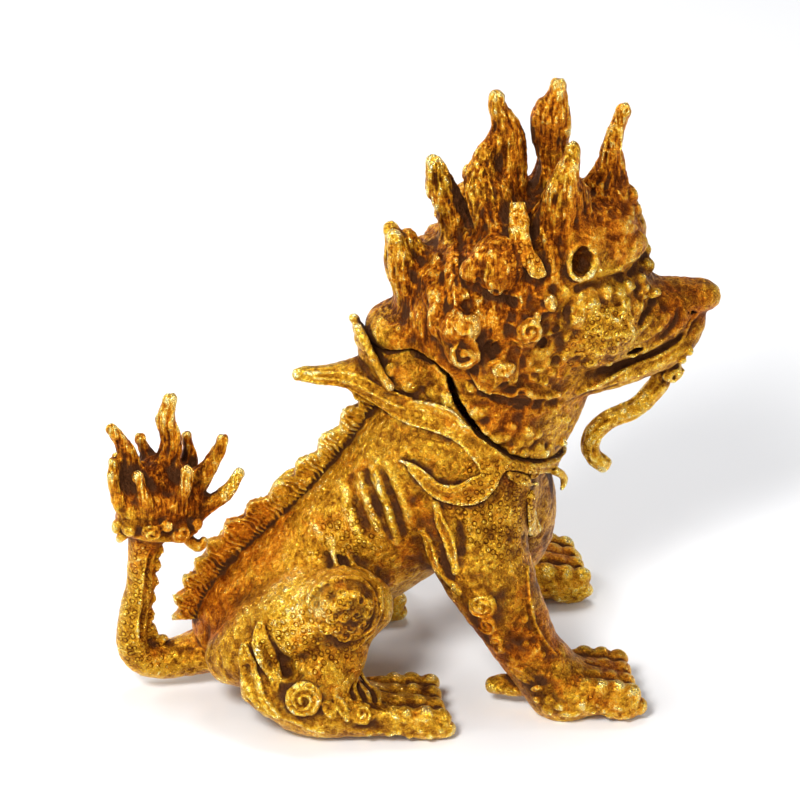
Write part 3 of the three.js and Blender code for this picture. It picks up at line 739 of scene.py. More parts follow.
def sculpt_tail(field):
    """The tail, its cup of curls, its flames, the ridge along its side and the teeth behind it."""
    field.add(Tube(TAIL), 0)
    field.add(Ball((-86.6, 0, 65), (14.5, 10.5, 6.4), (0, 7, 0)), 2)
    field.add(Ball((-85.4, 0, 72), (15, 10.5, 9), (0, 3, 0)), 3)
    field.add(Ball((-86, 0, 79), (11, 8, 9)), 3)
    field.add(Ball((-93, -3, 73), (7, 6.4, 8)), 3)
    for n, line in enumerate(TUFT):
        flame(field, line, (7 + n % 3, 0.9, 0.3 + 0.1 * (n % 3)), 3.2)
    for x, y, z, r, hand in TAIL_CUP:
        curl(field, (x, y, z), r, 0.75, 1.4, 200, hand, boss=1.4)
    wire(field, [(-99, -7, 64.6, 0.7), (-94, -9, 63.6, 1), (-86, -10, 62.6, 1.1), (-78, -9, 61, 1),
                 (-73.6, -6, 61, 0.7)], 1)
    for rows in ([(-96, -4, 68, 2.2), (-100.4, -5, 67.4, 2.1), (-101.6, -5, 65, 1.5)],
                 [(-96, -4, 64.4, 1.8), (-99.4, -5, 62.8, 1.6), (-100.6, -5, 61, 1)],
                 [(-80, -3, 62, 2.6), (-76.6, -4, 57.6, 2), (-73.6, -5, 56, 2.1), (-72, -5, 58.4, 1.3)]):
        field.add(Tube(rows), 1)
    ridge = [(-91.2, -4.6, 54), (-92.6, -4.5, 47), (-93.2, -4.5, 41), (-94.4, -4.8, 32), (-95, -5, 24.4),
             (-92.6, -5.5, 20), (-86, -6, 18.4), (-79, -6.6, 17.6), (-72, -8, 18)]
    wire(field, [p + (0.6 if 0 < n < 8 else 0.3,) for n, p in enumerate(ridge)], 0.7, 0)
    groove(field, [(x + 1.5, y, z + 0.8 * (n > 4), 0.6) for n, (x, y, z) in enumerate(ridge[:-1])], 1.4, 0.1)
    field.add(Blade(teeth(TAIL_TIPS, CREST_NOTCH * 0.6, 8), CREST_THICK * 0.9, (0, 1), 0.5), 0.8)


tail_field = Field((-108, -18, -1), (-54, 18, 114), VOXEL)
sculpt_tail(tail_field)
tail_field.keep(above_ground, 0.4)
print("tail field", tail_field.shape, "with", len(TUFT), "flames")

# %% [markdown]
# ## The mantle
#
# Thin sheets with raised edges lie over the withers and the shoulder and meet on the chest. Each is as
# far out as the body under it, plus its own thickness. A collar stands behind the neck, with a long point
# to the rear.

# %% Outlines of the sheets and stations of the collar
SHEET = 1.1  # how far a sheet stands out of the body
UPPER_SHEET = [
    (-12, 108), (-3.7, 108.8), (2.5, 109.6), (8.5, 108.4), (12.1, 104.3), (16.5, 100.4), (20.2, 96.9),
    (28, 91), (24, 86), (17.2, 86), (16.9, 89.3), (14, 93.7), (9.8, 98.3), (2.4, 101.1), (-6, 102),
    (-12, 103.4),
]
LOWER_SHEET = [
    (-8.6, 90.2), (-4.6, 89.6), (-1.2, 87.6), (1.4, 85), (3.8, 83.6), (7, 83.2), (10.6, 84.3), (14, 86.2),
    (17.2, 87.4), (20.4, 90.1), (28, 91.4), (34, 88), (43, 83.6), (60, 77), (60, 72.6), (52, 73.6),
    (47, 75.4), (40.6, 80.4), (34.8, 84.3), (29.6, 87.2), (25.5, 88.2), (23.2, 86.6), (21.6, 83.4),
    (19, 80.4), (15.8, 78.4), (12.6, 77.6), (9.3, 77.6), (5.4, 78.2), (1.9, 79.6), (-1, 82), (-3.8, 85.4),
    (-6, 88),
]
SPIKE = [
    (-39.3, 0, 114.6, 2.1, 2.1), (-36.8, 0, 114.7, 2.3, 2.4), (-30, 0, 113.4, 2.8, 3.4),
    (-23, 0, 113.2, 3.4, 4.1), (-18, 0, 113.8, 4.6, 5.4), (-12, 0, 113.4, 6.4, 6.4), (-6, 0, 111.6, 8, 6.6),
]
COLLAR_EDGE = [
    (-19.4, -3.4, 132.2), (-18.2, -6, 129.8), (-15.4, -9, 123.8), (-12.4, -12.4, 117.6), (-10.4, -13.8, 114),
]
# x in the middle, x at the ends, half the width and the height of each band
COLLAR_BANDS = [(-18.6, -17.4, 4.4, 129), (-18, -15.6, 8, 124.6), (-17, -13.4, 11, 120),
                (-15.6, -11.4, 13, 115.6)]
WING = [
    (-24, -0.6, 113.2, 3.4, 3.8), (-17, -4.6, 111.8, 3.6, 4.4), (-10, -9.4, 108.6, 3, 4.4),
    (-4, -12.6, 105.6, 2.4, 3.8),
]
WING_LINES = [
    [(-37, -2, 116), (-29, -3, 116), (-21, -5, 115.6), (-14, -9, 113), (-8, -12, 110.8), (-3, -14, 109)],
    [(-38, -2, 113.2), (-29, -4, 110.6), (-20, -6, 109), (-13, -9, 106.4), (-7, -12, 103.4),
     (-2, -15, 101.8)],
    [(-34, -3, 114.2), (-27, -4, 113.4), (-20, -7, 112.2), (-12, -11, 108.8), (-5, -14, 106)],
]

# %% [markdown]
# ## Sheets over a rounded body
#
# A modeller would cut the mantle from sheet wax and press it down. Here the sheet is all that lies
# between the body's surface and a second surface a little further out, inside an outline drawn on the
# flank. The raised edges are wires laid along the same outline.

# %% Sheets, edges and the tassel
def outermost(x, z):
    """The rightmost point of a sheet over the body at x and z, or None beside the body."""
    y = np.arange(-36, 0.1, 0.2)
    inside = body_field.sample(np.stack([np.full_like(y, x), y, np.full_like(y, z)], 1)) < SHEET
    return (x, float(y[inside.argmax()]), z) if inside.any() else None


def outlined(field, outline, half, stretch=slice(None)):
    """Lays a raised line along a stretch of an outline of (x, z) corners."""
    found = [outermost(x, z) for x, z in smooth_line(outline[stretch], 2)]
    field.add(Tube([p + (half,) for p in found if p], per=2), 0.25)


def sheet(field, outline):
    """A sheet of even thickness over the uncut body, inside an outline of (x, z) corners."""
    outline = np.array(outline, float)
    low, high = outline.min(0) - BAND, outline.max(0) + BAND
    part, (x, y, z) = field.window(np.array([low[0], field.low[1], low[1]]),
                                   np.array([high[0], 99, high[1]]))
    points = np.stack([np.broadcast_to(v, (x.size, y.size, z.size)).ravel() for v in (x, y, z)], 1)
    over = body_field.sample(points).reshape(x.size, y.size, z.size)
    flat = flat_distance(outline, x[:, 0], z[0])[:, None, :]
    through = np.maximum(over - SHEET, -1.6 - over)
    field.values[part] = soft_least(field.values[part], -soft_least(-through, -flat, 0.8), 0.8)


def sculpt_mantle(field):
    """The right half of both sheets, their raised edges, the leaves on the chest and the clasp."""
    sheet(field, UPPER_SHEET)
    sheet(field, LOWER_SHEET)
    outlined(field, UPPER_SHEET, 0.55, slice(1, 8))
    outlined(field, UPPER_SHEET, 0.55, slice(9, 16))
    outlined(field, LOWER_SHEET, 0.55, slice(0, 11))
    outlined(field, LOWER_SHEET, 0.6, slice(15, 32))
    outlined(field, [(x + 0.4, z - 2.4) for x, z in UPPER_SHEET[1:7]], 0.4)
    outlined(field, [(x + 1.6, z + 1.7) for x, z in UPPER_SHEET[10:15]], 0.4)
    outlined(field, [(x, z - 1.7) for x, z in LOWER_SHEET[1:9]], 0.4)
    outlined(field, [(x + 0.6, z + 1.9) for x, z in LOWER_SHEET[20:27]], 0.35)
    outlined(field, [(20, 85), (22.6, 88.6), (26, 89.6), (31, 87.4), (38, 84.2), (43, 81.2), (47, 78)], 0.4)
    outlined(field, [(28, 88.4), (33, 86.2), (38, 82.8), (43, 79)], 0.35)
    field.add(Tube([(45.4, -15, 77.6, 1.4), (48.4, -12.4, 74.4, 1.5), (49.6, -10.4, 70.6, 1.3),
                    (48.8, -11, 68, 0.8)]), 0.8)
    for rows in ([(26.2, -28.7, 86.4), (28.8, -28.4, 83), (33, -26.6, 80.2), (39, -22, 76.8)],
                 [(26.2, -28.7, 86.4), (29.4, -27.8, 85.2), (32.6, -26.6, 82.8), (34, -26, 80.8)],
                 [(35.4, -25.2, 76.4), (33.6, -27, 71.8), (34, -27, 65.6), (36.2, -24.6, 60),
                  (39.4, -21.8, 55.4)],
                 [(35.4, -25.2, 76.4), (37, -25, 70), (40.6, -22, 62.8), (41.6, -21, 57.4),
                  (39.4, -21.8, 55.4)]):
        seat = snapped(body_field, rows, 0.2)
        field.add(Tube([tuple(p) + (0.75,) for p in seat], per=4), 0.3)
    for rows, wide in (([(27.4, -28.6, 85.2), (30.6, -27.6, 82.4), (34, -26, 80.4)], 1.7),
                       ([(35.4, -25.4, 74.6), (35.6, -26, 69.6), (37.6, -24.6, 63.4), (39.4, -22.4, 57)],
                        2.4)):
        seat = snapped(body_field, rows, -0.6)
        field.add(Tube([tuple(p) + (wide,) for p in seat], per=4), 0.3)
    seat = snapped(body_field, [(36.4, -24, 82)], 0.4)[0]
    field.add(Ball(seat, (2.6, 1.3, 1.5), (0, 12, 50)), 0.3)
    field.cut(Ball(seat + (0.3, -1.5, 0.2), (1.5, 0.7, 0.7), (0, 12, 50)), 0.3)

# %% [markdown]
# ## The collar
#
# Four bands one above another stand up behind the neck, and a thick fold runs from each shoulder into the
# long point at the rear. They cross the middle plane, so they are joined on after the mirror image is
# made. The body is hollowed and cut along the seam only now, because the sheets had to lie on a whole
# one.

# %% The collar and the mantle's field
mantle_field = half_of((-44, -36, 50), (58, 0, 136), VOXEL * 0.85, sculpt_mantle)
mantle_field.keep(past_line(SEAM_BODY), 0.6)
mantle_field.add(Tube(SPIKE), 1)
for mid, back, half, z in COLLAR_BANDS:
    band = [(back, -half, z, 1.2, 2.9), (mid, 0, z, 1.4, 3), (back, half, z, 1.2, 2.9)]
    mantle_field.add(Tube(band, across=(1, 0, 0.4)), 1)
for side in (1, -1):
    mantle_field.add(Tube([(x, y * side, z, 1.5) for x, y, z in COLLAR_EDGE], per=3), 0.6)
    mantle_field.add(Tube([(x, y * side, z, a, b) for x, y, z, a, b in WING], per=3), 1.5)
    for rows in WING_LINES:
        wire(mantle_field, [(x, y * side, z, 0.55) for x, y, z in rows], 0.3, 0.1)
mantle_field.add(Blade([(-22, 110.5), (-12, 112), (-6, 106), (-15, 102.6), (-20, 104.4), (-21, 107)], 5), 2)
body_field.cut(Tube(less(TRUNK[1:], WALL), per=3), 0.5)
body_field.keep(past_line(SEAM_BODY), 0.8)
print("mantle field", mantle_field.shape)

# %% [markdown]
# ## The head
#
# The head lifts off along the seam. Skull, muzzle and jaw are eggs and tubes, and the flames grow out of
# them with wide roots. Locks, buds and curls are laid over the mane, and the folds of the face are cut
# and raised after them.

# %% Stations of the head and its flames
UPPER_MUZZLE = [
    (58, 0, 134, 23, 24), (71, 0, 130, 18.5, 15.5), (82, 0, 128, 13.4, 10.2), (91, 0, 130.4, 9.4, 7),
    (97, 0, 130.4, 7, 5.4), (100.4, 0, 131, 4, 4),
]
JAW = [
    (44, 0, 112, 21, 12), (60, 0, 110.5, 17.5, 9), (74, 0, 111.5, 14, 7.5), (85, 0, 113.8, 11, 7),
    (91.4, 0, 117.6, 8.6, 6), (94.4, 0, 122.4, 6.4, 4.8), (95.2, 0, 127.4, 4.6, 3.4),
]
LIPS = [(56, 0, 122, 24, 7), (66, 0, 122, 20.6, 7), (74, 0, 121.6, 16.4, 6.6), (82, 0, 122.6, 13.2, 5.8),
        (88.4, 0, 125, 10.8, 4.6)]
CROWN = [
    [(12, -2, 126, 8, 12), (3, -3, 141, 6.5, 8.5), (-2.5, -3, 148.5, 5, 6), (-4.8, -3, 154, 4, 4.6),
     (-5.7, -3, 159.1, 3.2, 3.4), (-6.8, -3, 163.6, 2.4, 2.4)],
    [(14, 0, 130, 8, 10), (6, 0, 142, 5, 7), (3.5, 0, 148, 4.4, 5.4), (1.8, 0, 154, 3.6, 4.4),
     (0.4, 0, 158, 3.2, 3.6), (-1.4, 0, 162, 2.4, 2.6)],
    [(19, 0, 146, 8, 11), (16.5, 0, 158, 6.5, 8), (14.7, 0, 166, 5.2, 6.4), (12.8, 0, 171.3, 4.6, 5.3),
     (10.7, 0, 176.2, 4.3, 5.3), (9, 0, 180.4, 4, 5.1), (7.6, 0, 185, 3.3, 3.8), (6.7, 0, 188.2, 2.4, 2.5)],
    [(32, 0, 162, 9, 11), (32, 0, 174, 7, 7.6), (32, 0, 183, 6, 6.2), (32.2, 0, 190.5, 5.2, 5.8),
     (31.9, 0, 195.3, 4.8, 5.4), (30.6, 0, 200, 4.2, 4.6), (28.8, 0, 204.3, 3.5, 3.7),
     (27.7, 0, 207.4, 3, 3.1), (27.6, 0, 209.6, 2.4, 2.4)],
    [(46, 0, 162, 9, 11), (46.4, 0, 175, 6.4, 6.6), (46.6, 0, 184, 4.8, 4.6), (46.5, 0, 190, 4.6, 4.7),
     (46.5, 0, 196, 5, 5.7), (46.9, 0, 201.6, 4.5, 5.6), (47.6, 0, 206.2, 3.6, 4.2),
     (48, 0, 209.6, 3.1, 3.4), (48.2, 0, 211.8, 2.5, 2.5)],
    [(44.6, 0, 190, 3.6, 3.6), (42.8, 0, 196.4, 3, 3.2), (41.8, 0, 201.4, 2.6, 2.6),
     (43, 0, 205.8, 2.2, 2.2)],
    [(60, 0, 160, 10, 13), (64.5, 0, 172, 7, 9), (66.2, 0, 182.7, 4, 4.8), (66.4, 0, 187.5, 3.4, 3.8),
     (67.2, 0, 192.1, 2.9, 3.2), (68.2, 0, 196, 2.6, 2.8), (69.2, 0, 198.8, 2.6, 2.7),
     (70.2, 0, 201.2, 2.5, 2.5)],
]
RIGHT_FLAMES = [
    [(32, -12, 155, 7, 9), (27, -12, 166, 6, 7), (22.6, -9, 175, 5, 6), (21, -6, 183, 4, 5.4),
     (23.4, -3, 190.6, 3.2, 4), (27, -1, 196, 2.4, 2.6)],
    [(49, -10, 158, 9, 14), (48, -12, 168, 8, 11), (47.6, -14.5, 176, 6.6, 8.6),
     (47.2, -16, 182.4, 5.2, 6.4), (47.6, -17, 187.1, 4.2, 4.8), (48.5, -16.6, 191, 3.3, 3.6),
     (49.3, -16, 194.2, 2.7, 2.8), (49.9, -15.2, 196.4, 2.3, 2.4)],
]
LEFT_FLAMES = [
    [(30, 12, 158, 6, 8), (27, 10, 166, 5, 6), (24, 9, 174, 3.8, 4.2), (20.6, 8, 179.4, 2.4, 2.6)],
    [(47, 13, 163, 7, 8), (48.4, 14, 173, 4.8, 5.6), (48.4, 11, 183, 3.6), (48.2, 9, 191.4, 2.7)],
]
EYE = (51.7, -22.4, 159.6)
EAR = [
    (31.8, -15.6, 178.6, 2.6, 1.1), (31.4, -18.6, 174, 3.3, 1.3), (31, -22, 169.5, 3.3, 1.3),
    (32.7, -25.4, 164.6, 3, 1.4), (35.2, -27.4, 161, 2.9, 1.4), (37, -28.2, 158, 2, 1.1),
]
BEARD = [
    (90, 0, 113, 5), (86, 0, 106, 4.2), (84.5, 0, 99.5, 3.6), (77, 0, 91, 3.5), (67, 0, 87, 3.5),
    (61.6, 0, 81.4, 3.4), (61.6, 0, 74.4, 3.2), (66, 0, 70, 3),
]
MOUTH = [
    (66, -22.4, 122.4, 0.3), (71, -19, 121.4, 0.5), (76.4, -16.4, 121.6, 0.6), (81, -14.4, 123.4, 0.8),
    (85.4, -12.6, 126.4, 1), (88, -11, 130, 1.1), (88.4, -9.8, 134, 0.8),
]

# %% [markdown]
# ## The skull and the middle of the crown
#
# Eggs make the skull, and tubes make the muzzle, the lips and the jaw. The flames along the middle of the
# crown are joined on before any relief, with wide roots.

# %% Skull, muzzle and jaw
def skull(field):
    """The head's big forms, and the flames that stand on its middle plane."""
    field.add(Ball((43, 0, 140), (35, 27, 36)), 0)
    field.add(Ball((22, 0, 134), (28, 28, 30)), 5)
    field.add(Ball((-4.6, 0, 129.4), (11.4, 13.5, 7.6)), 4)
    field.add(Ball((60, 0, 158), (16, 20, 17)), 4)
    field.add(Tube(NECK), 5)
    field.add(Tube(UPPER_MUZZLE), 4)
    field.add(Ball((58, -18, 131), (13, 8, 11)), 4)
    field.add(Tube(JAW), 2)
    field.add(Tube(LIPS), 3)
    for n, line in enumerate(CROWN):
        flame(field, line, (12 + n % 3, 0.8, 0.1 + 0.05 * (n % 3)), 3)

# %% [markdown]
# ## The mane
#
# Locks fall from the roots of the flames over round swellings, with oval buttons, spiral curls and deep
# hollows between them. The lists say only where each one sits and how large it is.

# %% Locks, buttons and cobbles
def mane(field):
    """Locks that fall from the flames' roots, swellings with buttons on them, and curls between."""
    for rows in ([(-4, -5, 158, 1.6), (1.5, -10, 153, 3), (2.9, -17.3, 147, 3.6), (4.1, -25, 138, 3.6),
                  (8, -26, 130, 2)],
                 [(10, -8, 164, 2), (10, -14, 158.4, 3.4), (9.5, -23, 150, 4), (10.4, -29, 143, 3.4)],
                 [(5, -8, 160, 1.5), (4.6, -15, 154, 2.8), (4, -21, 146, 3), (0, -22, 136, 2)],
                 [(17.6, -7, 166, 3), (16.4, -19, 162, 4.4), (15.4, -24, 158, 3.6)],
                 [(40, -12, 170, 3), (42, -20, 163, 3.6), (41, -25, 154, 3), (38, -28, 147, 2)]):
        wire(field, rows, 1.4, -0.8, 0.8, (9, 0.9, 0.2))
    for at, r in (((24.5, -20.5, 160), 9.6), ((15.4, -21.5, 158.9), 4), ((11, -25, 140), 7),
                  ((12, -25, 131.5), 6), ((23, -24.5, 124), 8), ((32.6, -25, 138), 6.5),
                  ((38.6, -24, 147), 4.5)):
        field.add(Ball(at, (r, r * 0.82, r * 1.05)), 2)
    for at, r in (((13.7, -29, 152.5), 2.6), ((20.8, -29, 132.6), 2.8), ((25.3, -30, 117.8), 2.2),
                  ((39, -28, 131.4), 2.2), ((43, -26, 124.4), 2), ((41.5, -27, 151.5), 2),
                  ((28, -27, 149), 2)):
        field.cut(Ball(snapped(field, [at], 0.4)[0], (r, r, r * 1.1)), 1.4)
    button(field, (21.4, -29.4, 152.4), 3.8, 2.2, -66)
    button(field, (10.9, -31, 142.5), 4, 2, -38)
    button(field, (24.5, -31, 126.2), 4.2, 2.6, 0)
    curl(field, (11.4, -31, 132.6), 4.8, 0.9, 1.2, 240, -1, 0.7, 0.8)
    curl(field, (32.8, -31, 139.3), 3.8, 0.8, 1.3, 60, -1, 0.7, 1)
    wire(field, [(34, -31, 142.5, 0.9), (37, -29.5, 144.6, 1.1), (40, -28.5, 146.5, 1.2)], 0.7)
    curl(field, (40.2, -28, 147.2), 2.4, 0.7, 1.1, 200, 1, 0.6, 0.6)
    for at, r in (((12.4, -31, 133.6), 1.5), ((14.6, -30, 131), 1.3), ((12, -30, 129), 1.2),
                  ((28.8, -29, 120.1), 1.7), ((33.8, -26, 125.4), 1.8), ((36.6, -26, 122), 1.3),
                  ((35.4, -25, 118.4), 1.5), ((39.4, -25, 117), 1.7), ((42, -25, 119.6), 1.3),
                  ((44.4, -25, 140), 1.7), ((41, -26, 136), 1.4), ((45.6, -26, 133), 1.6)):
        pebble(field, at, r, 0.8, 0.7)
    wire(field, [(13, -27, 122.5, 0.6), (19.7, -26, 118.6, 1), (25, -25.5, 114.6, 1.1),
                 (28.3, -25.5, 113.6, 1.1), (31.5, -25.6, 115.6, 1), (36.3, -24, 111.8, 1.1),
                 (44, -22, 110.8, 1)], 0.8, 0.3)
    groove(field, [(14, -25, 119.4, 0.8), (21, -24.5, 114.6, 1.5), (28, -24.4, 110.4, 1.6),
                   (36, -23, 108.6, 1.5), (45, -20, 107.6, 0.8)], 1.2, 0.2)


def neck_cobbles(field):
    """Flat round cobbles between the mane and the seam, of several sizes."""
    scatter = np.random.default_rng(SEED)
    for row in range(3):
        for n in range(9):
            x = 15.5 + 4.3 * n + 2.1 * (row % 2) + scatter.uniform(-0.9, 0.9)
            z = np.interp(x, [p[0] for p in SEAM_HEAD], [p[1] for p in SEAM_HEAD]) + 1.8 + 4.2 * row
            if x < 46 - 3 * row:
                pebble(field, (x, -24, z + scatter.uniform(-0.7, 0.7)), scatter.uniform(2.2, 3.4), 0.9, 0.5)
    for n in range(24):
        x = scatter.uniform(40, 56)
        z = np.interp(x, [p[0] for p in SEAM_HEAD], [p[1] for p in SEAM_HEAD]) + scatter.uniform(2, 21)
        pebble(field, (x, -19, z), scatter.uniform(0.9, 1.7), 0.7, 0.4)


def button(field, at, long, wide, angle):
    """An oval button with a sunk middle."""
    seat, axes = laid(field, at, angle)
    field.add(Ball(seat, (long, 1.7, wide), axes=axes), 0.5)
    field.cut(Ball(seat + axes[1] * 1.7, (long * 0.62, 0.9, wide * 0.55), axes=axes), 0.4)

# %% [markdown]
# ## The face
#
# The eye is a bored hole with a ring of wire round it, so that it shows black. The brow is a wedge of
# folds, the cheek is granular, and a channel runs from the nostril back to the corner of the closed
# mouth.

# %% Eye, brow, cheek and mouth
def sculpt_head(field):
    """The right half of the head, from the big forms to the small ones."""
    for part in (skull, mane, neck_cobbles, eye, forehead, cheek, mouth):
        part(field)


def eye(field):
    """A round hole inside a thick wire ring whose end curls out at the lower front."""
    x, y, z = EYE
    field.add(Ball((x, y + 4, z), (9.4, 4.4, 10)), 2.5)
    field.cut(Ball((x, y + 0.2, z), (3.9, 3.8, 5), (-25, 0, 9)), 0.3)
    ring = []
    for n in range(18):
        a = 2 * math.pi * n / 16 - 0.5
        u, v = 4.6 * math.cos(a), 6.2 * math.sin(a)
        ring.append((x + u + v * 0.1, y + u * 0.2 + v * 0.43 - 0.8, z + v * 0.9, 0.95 if n < 15 else 1.3))
    ring.append((x + 6, y + 1, z - 6.6, 1.3))
    ring.append((x + 8.4, y + 2.4, z - 8.4, 0.9))
    field.add(Tube(ring, per=1), 0.5)


def forehead(field):
    """Hollows and wires between the front flames, knobs along the profile, and the brow's rough wedge."""
    field.cut(Ball((57.6, -13, 180), (4, 7, 8), (0, 24, 0)), 1.6)
    field.cut(Ball((64, -16, 173.6), (5, 4.6, 3.2), (0, 35, 0)), 1.2)
    field.cut(Ball((44, -23, 170), (2.6, 5, 9), (0, -12, 0)), 1.6)
    wire(field, [(53, -15, 184, 0.7), (55.4, -14.6, 177, 1), (58.6, -14, 172.4, 1.1),
                 (61.6, -14.6, 173.6, 1), (62.4, -12.6, 178, 0.8)], 1.2)
    wire(field, [(62.6, -16, 170.6, 0.8), (67, -15.4, 168.6, 1.2), (72, -11, 168.4, 1.2),
                 (74.4, -6, 170, 0.9)], 1.4)
    wire(field, [(55, -19, 168.4, 0.6), (60, -17.4, 166, 1.1), (66, -15, 165.6, 1.2), (71, -11, 163.6, 0.9)],
         1.4)
    field.add(Ball((67, -12.6, 158.8), (9.6, 6.4, 4.4), (0, 2, 22)), 2.5)
    wire(field, [(62, -20.4, 152.6, 0.5), (66, -18, 154.4, 1), (70, -15, 157, 1.2), (74, -10, 158.4, 1.1),
                 (76, -6, 158, 0.7)], 0.9)
    groove(field, [(50, -25, 151, 0.9), (55, -23, 150.6, 1.3), (61, -20.4, 150, 1.7),
                   (67.4, -17, 149.8, 1.9), (73.6, -12, 150.8, 1.3)], 1.4)
    field.add(Ball((69, 0, 156.4), (9.5, 11, 9)), 2)
    for place, r in (((77.6, -2, 150.6), 2.5), ((78, -4.4, 146), 2.8), ((76.6, -8.4, 148.8), 2),
                     ((73, -2, 171), 2.4), ((73.8, -2.6, 165.6), 2.8), ((76, -1, 160.4), 2.4),
                     ((75.4, -6, 156), 2), ((72.6, -9, 160.4), 1.8), ((68, -13.6, 163), 2)):
        field.add(Ball(place, (r, r * 0.9, r)), 1.6)


def cheek(field):
    """Granular lumps and small rings under the eye and along the muzzle."""
    for place, r in (((73.8, -13.4, 146), 2.2), ((71.4, -16.6, 138.2), 2.2), ((60, -21.5, 146.4), 2.6),
                     ((64.4, -20, 145), 2.8), ((68.6, -17.6, 145.6), 2), ((50, -26, 140), 2.4),
                     ((55, -24.6, 143.5), 2.2), ((57, -23, 134), 2.4), ((52, -24, 130), 2),
                     ((78, -13, 140), 1.8)):
        field.add(Ball(place, (r, r * 0.9, r)), 1.4)
    curl(field, (75, -15, 142.4), 2.8, 0.7, 1, 30, 1, boss=1)
    curl(field, (66.4, -19, 141.4), 2, 0.55, 1, 130, 1, boss=0.6)
    groove(field, [(72, -15.8, 132, 0.8), (78, -12.6, 136.6, 1.7), (84, -9, 139, 1.4)], 1.8, 0.2)
    groove(field, [(50, -25, 149.5, 0.9), (46, -26.5, 144, 1.4), (43, -28, 137, 1.2), (44, -26.5, 128, 0.9)],
           2)
    scatter = np.random.default_rng(SEED + 12)
    for n in range(90):
        x, z = scatter.uniform(46, 84), scatter.uniform(114, 150)
        if z > 117 + 0.1 * abs(x - 60) and z < 150 - 0.55 * max(x - 70, 0):
            pebble(field, (x, -26 + 0.45 * max(x - 56, 0), z), scatter.uniform(0.8, 1.8), 0.9, 0.2)


def mouth(field):
    """The nose's ball and nostril, the channel that runs back from it, and the lips on both sides."""
    field.add(Ball((98.2, 0, 131), (6.2, 6.6, 4.8)), 2)
    field.cut(Ball((84.9, -11.6, 135.7), (4, 2, 3.4), (0, -20, 0)), 2)
    field.cut(Tube(MOUTH, per=3), 1.2)
    field.cut(Tube([(89.8, -8.5, 130, 0.9), (94.4, -6.6, 128.8, 0.8), (99.4, 0, 128, 0.7)], per=3), 0.5)
    field.cut(Ball((71, -17, 121.6), (3.8, 4, 1), (0, 4, 0)), 0.3)
    wire(field, [(66, -21, 126, 0.6), (74, -16, 125.4, 0.9), (80, -14, 127.6, 0.9), (83.4, -12.6, 131, 0.9)],
         0.9)
    wire(field, [(52, -19.4, 108.4, 0.7), (60, -16.4, 110.4, 1), (68, -14.4, 112.8, 0.9),
                 (76.1, -13, 115, 0.8), (80.4, -12, 115.6, 0.8), (85.4, -11, 117.2, 0.8),
                 (89.8, -9.5, 119.6, 0.8), (92, -8.5, 123.4, 0.8), (94.4, -6.5, 127, 0.9),
                 (96.6, -4, 128, 0.7)], 0.7, 0.2)
    field.add(Ball((94.6, -2.4, 122), (4, 4.6, 6), (0, 20, 0)), 1.4)
    groove(field, [(52, -19, 105.6, 0.6), (60, -15.6, 107, 0.9), (70, -12.6, 109.4, 0.7)], 1)
    for place, r in (((92.4, -8, 114.6), 1.6), ((94.8, -5, 117.4), 1.5), ((97, -4, 121), 1.5),
                     ((90, -8.6, 111.6), 1.4)):
        field.add(Ball(place, (r, r, r)), 0.9)

# %% [markdown]
# ## Hollowing the head
#
# The side flames aren't mirrored, so they come after the mirror image is made. Then the hollow and the
# seam are cut, so that the wall shows in the gap. The beard hangs past the line of the seam and is joined
# on after the cut.

# %% The head's field
head_field = half_of((-20, -38, 64), (108, 0, 218), VOXEL, sculpt_head)
head_field.add(Ball((28, -5, 172), (6, 6, 13)), 4)
for n, line in enumerate(RIGHT_FLAMES + LEFT_FLAMES):
    flame(head_field, line, (11 + n, 0.8, 0.1 + 0.05 * n), 4)
for side in (1, -1):
    head_field.add(Tube([(x, y * side, z, a, b) for x, y, z, a, b in EAR], across=(1, 0, 0)), 0.5)
head_field.cut(Tube(less(NECK, WALL)), 0.5)
head_field.cut(Ball((36, 0, 138), (26, 20, 27)), 0.5)
under_seam = past_line(SEAM_HEAD)
head_field.keep(lambda x, y, z: -under_seam(x, y, z), 0.5)
head_field.add(Tube(BEARD, per=5, grooves=(7, 0.7, 0.15)), 1.2)
curl(head_field, (88, -4, 105), 3.6, 1.2, 1.1, 0, 1, 0.6, 1.2)
print("head field", head_field.shape)

# %% [markdown]
# ## From fields to meshes
#
# On the object the body with its tail is one casting and the head with its crown is another. Here they
# are six meshes, because one mesh may hold only so many faces. Each sinks a little into the next, so no
# join is seen.

# %% The six castings
CROWN_FOOT, OVERLAP = 162.0, 3.0


def split_at(field, height):
    """The field's parts below and above a height. Each sinks under the other where they overlap."""
    cell = int((height - field.low[2]) / field.voxel)
    more = int(3 * OVERLAP / field.voxel)
    lower, upper = Field(field.low, field.low, field.voxel), Field(field.low, field.low, field.voxel)
    lower.values = field.values[:, :, : cell + more].copy()
    upper.values = field.values[:, :, cell - more :].copy()
    upper.low = field.low + np.array((0, 0, (cell - more) * field.voxel))
    lower.shape, upper.shape = lower.values.shape, upper.values.shape
    lower.keep(lambda x, y, z: z - height - OVERLAP + 0 * x + 0 * y, OVERLAP)
    upper.keep(lambda x, y, z: height - OVERLAP - z + 0 * x + 0 * y, OVERLAP)
    return lower, upper


skull_field, crown_field = split_at(head_field, CROWN_FOOT)
CASTINGS = [
    ("body_casting", "body", body_field, body_field, 190000),
    ("crest_casting", "body", crest_field, crest_field, 60000),
    ("tail_casting", "body", tail_field, tail_field, 150000),
    ("mantle_casting", "body", mantle_field, mantle_field, 120000),
    ("head_casting", "head", skull_field, head_field, 195000),
    ("crown_casting", "head", crown_field, head_field, 195000),
]

# %% [markdown]
# ## The skin of a casting
#
# The skin of a wax casting is a little uneven. Noise moves the points in and out by a few tenths of a
# millimetre: round lumps everywhere, long strands on the hair, and thin folds over the mane, the brow and
# the cheek.

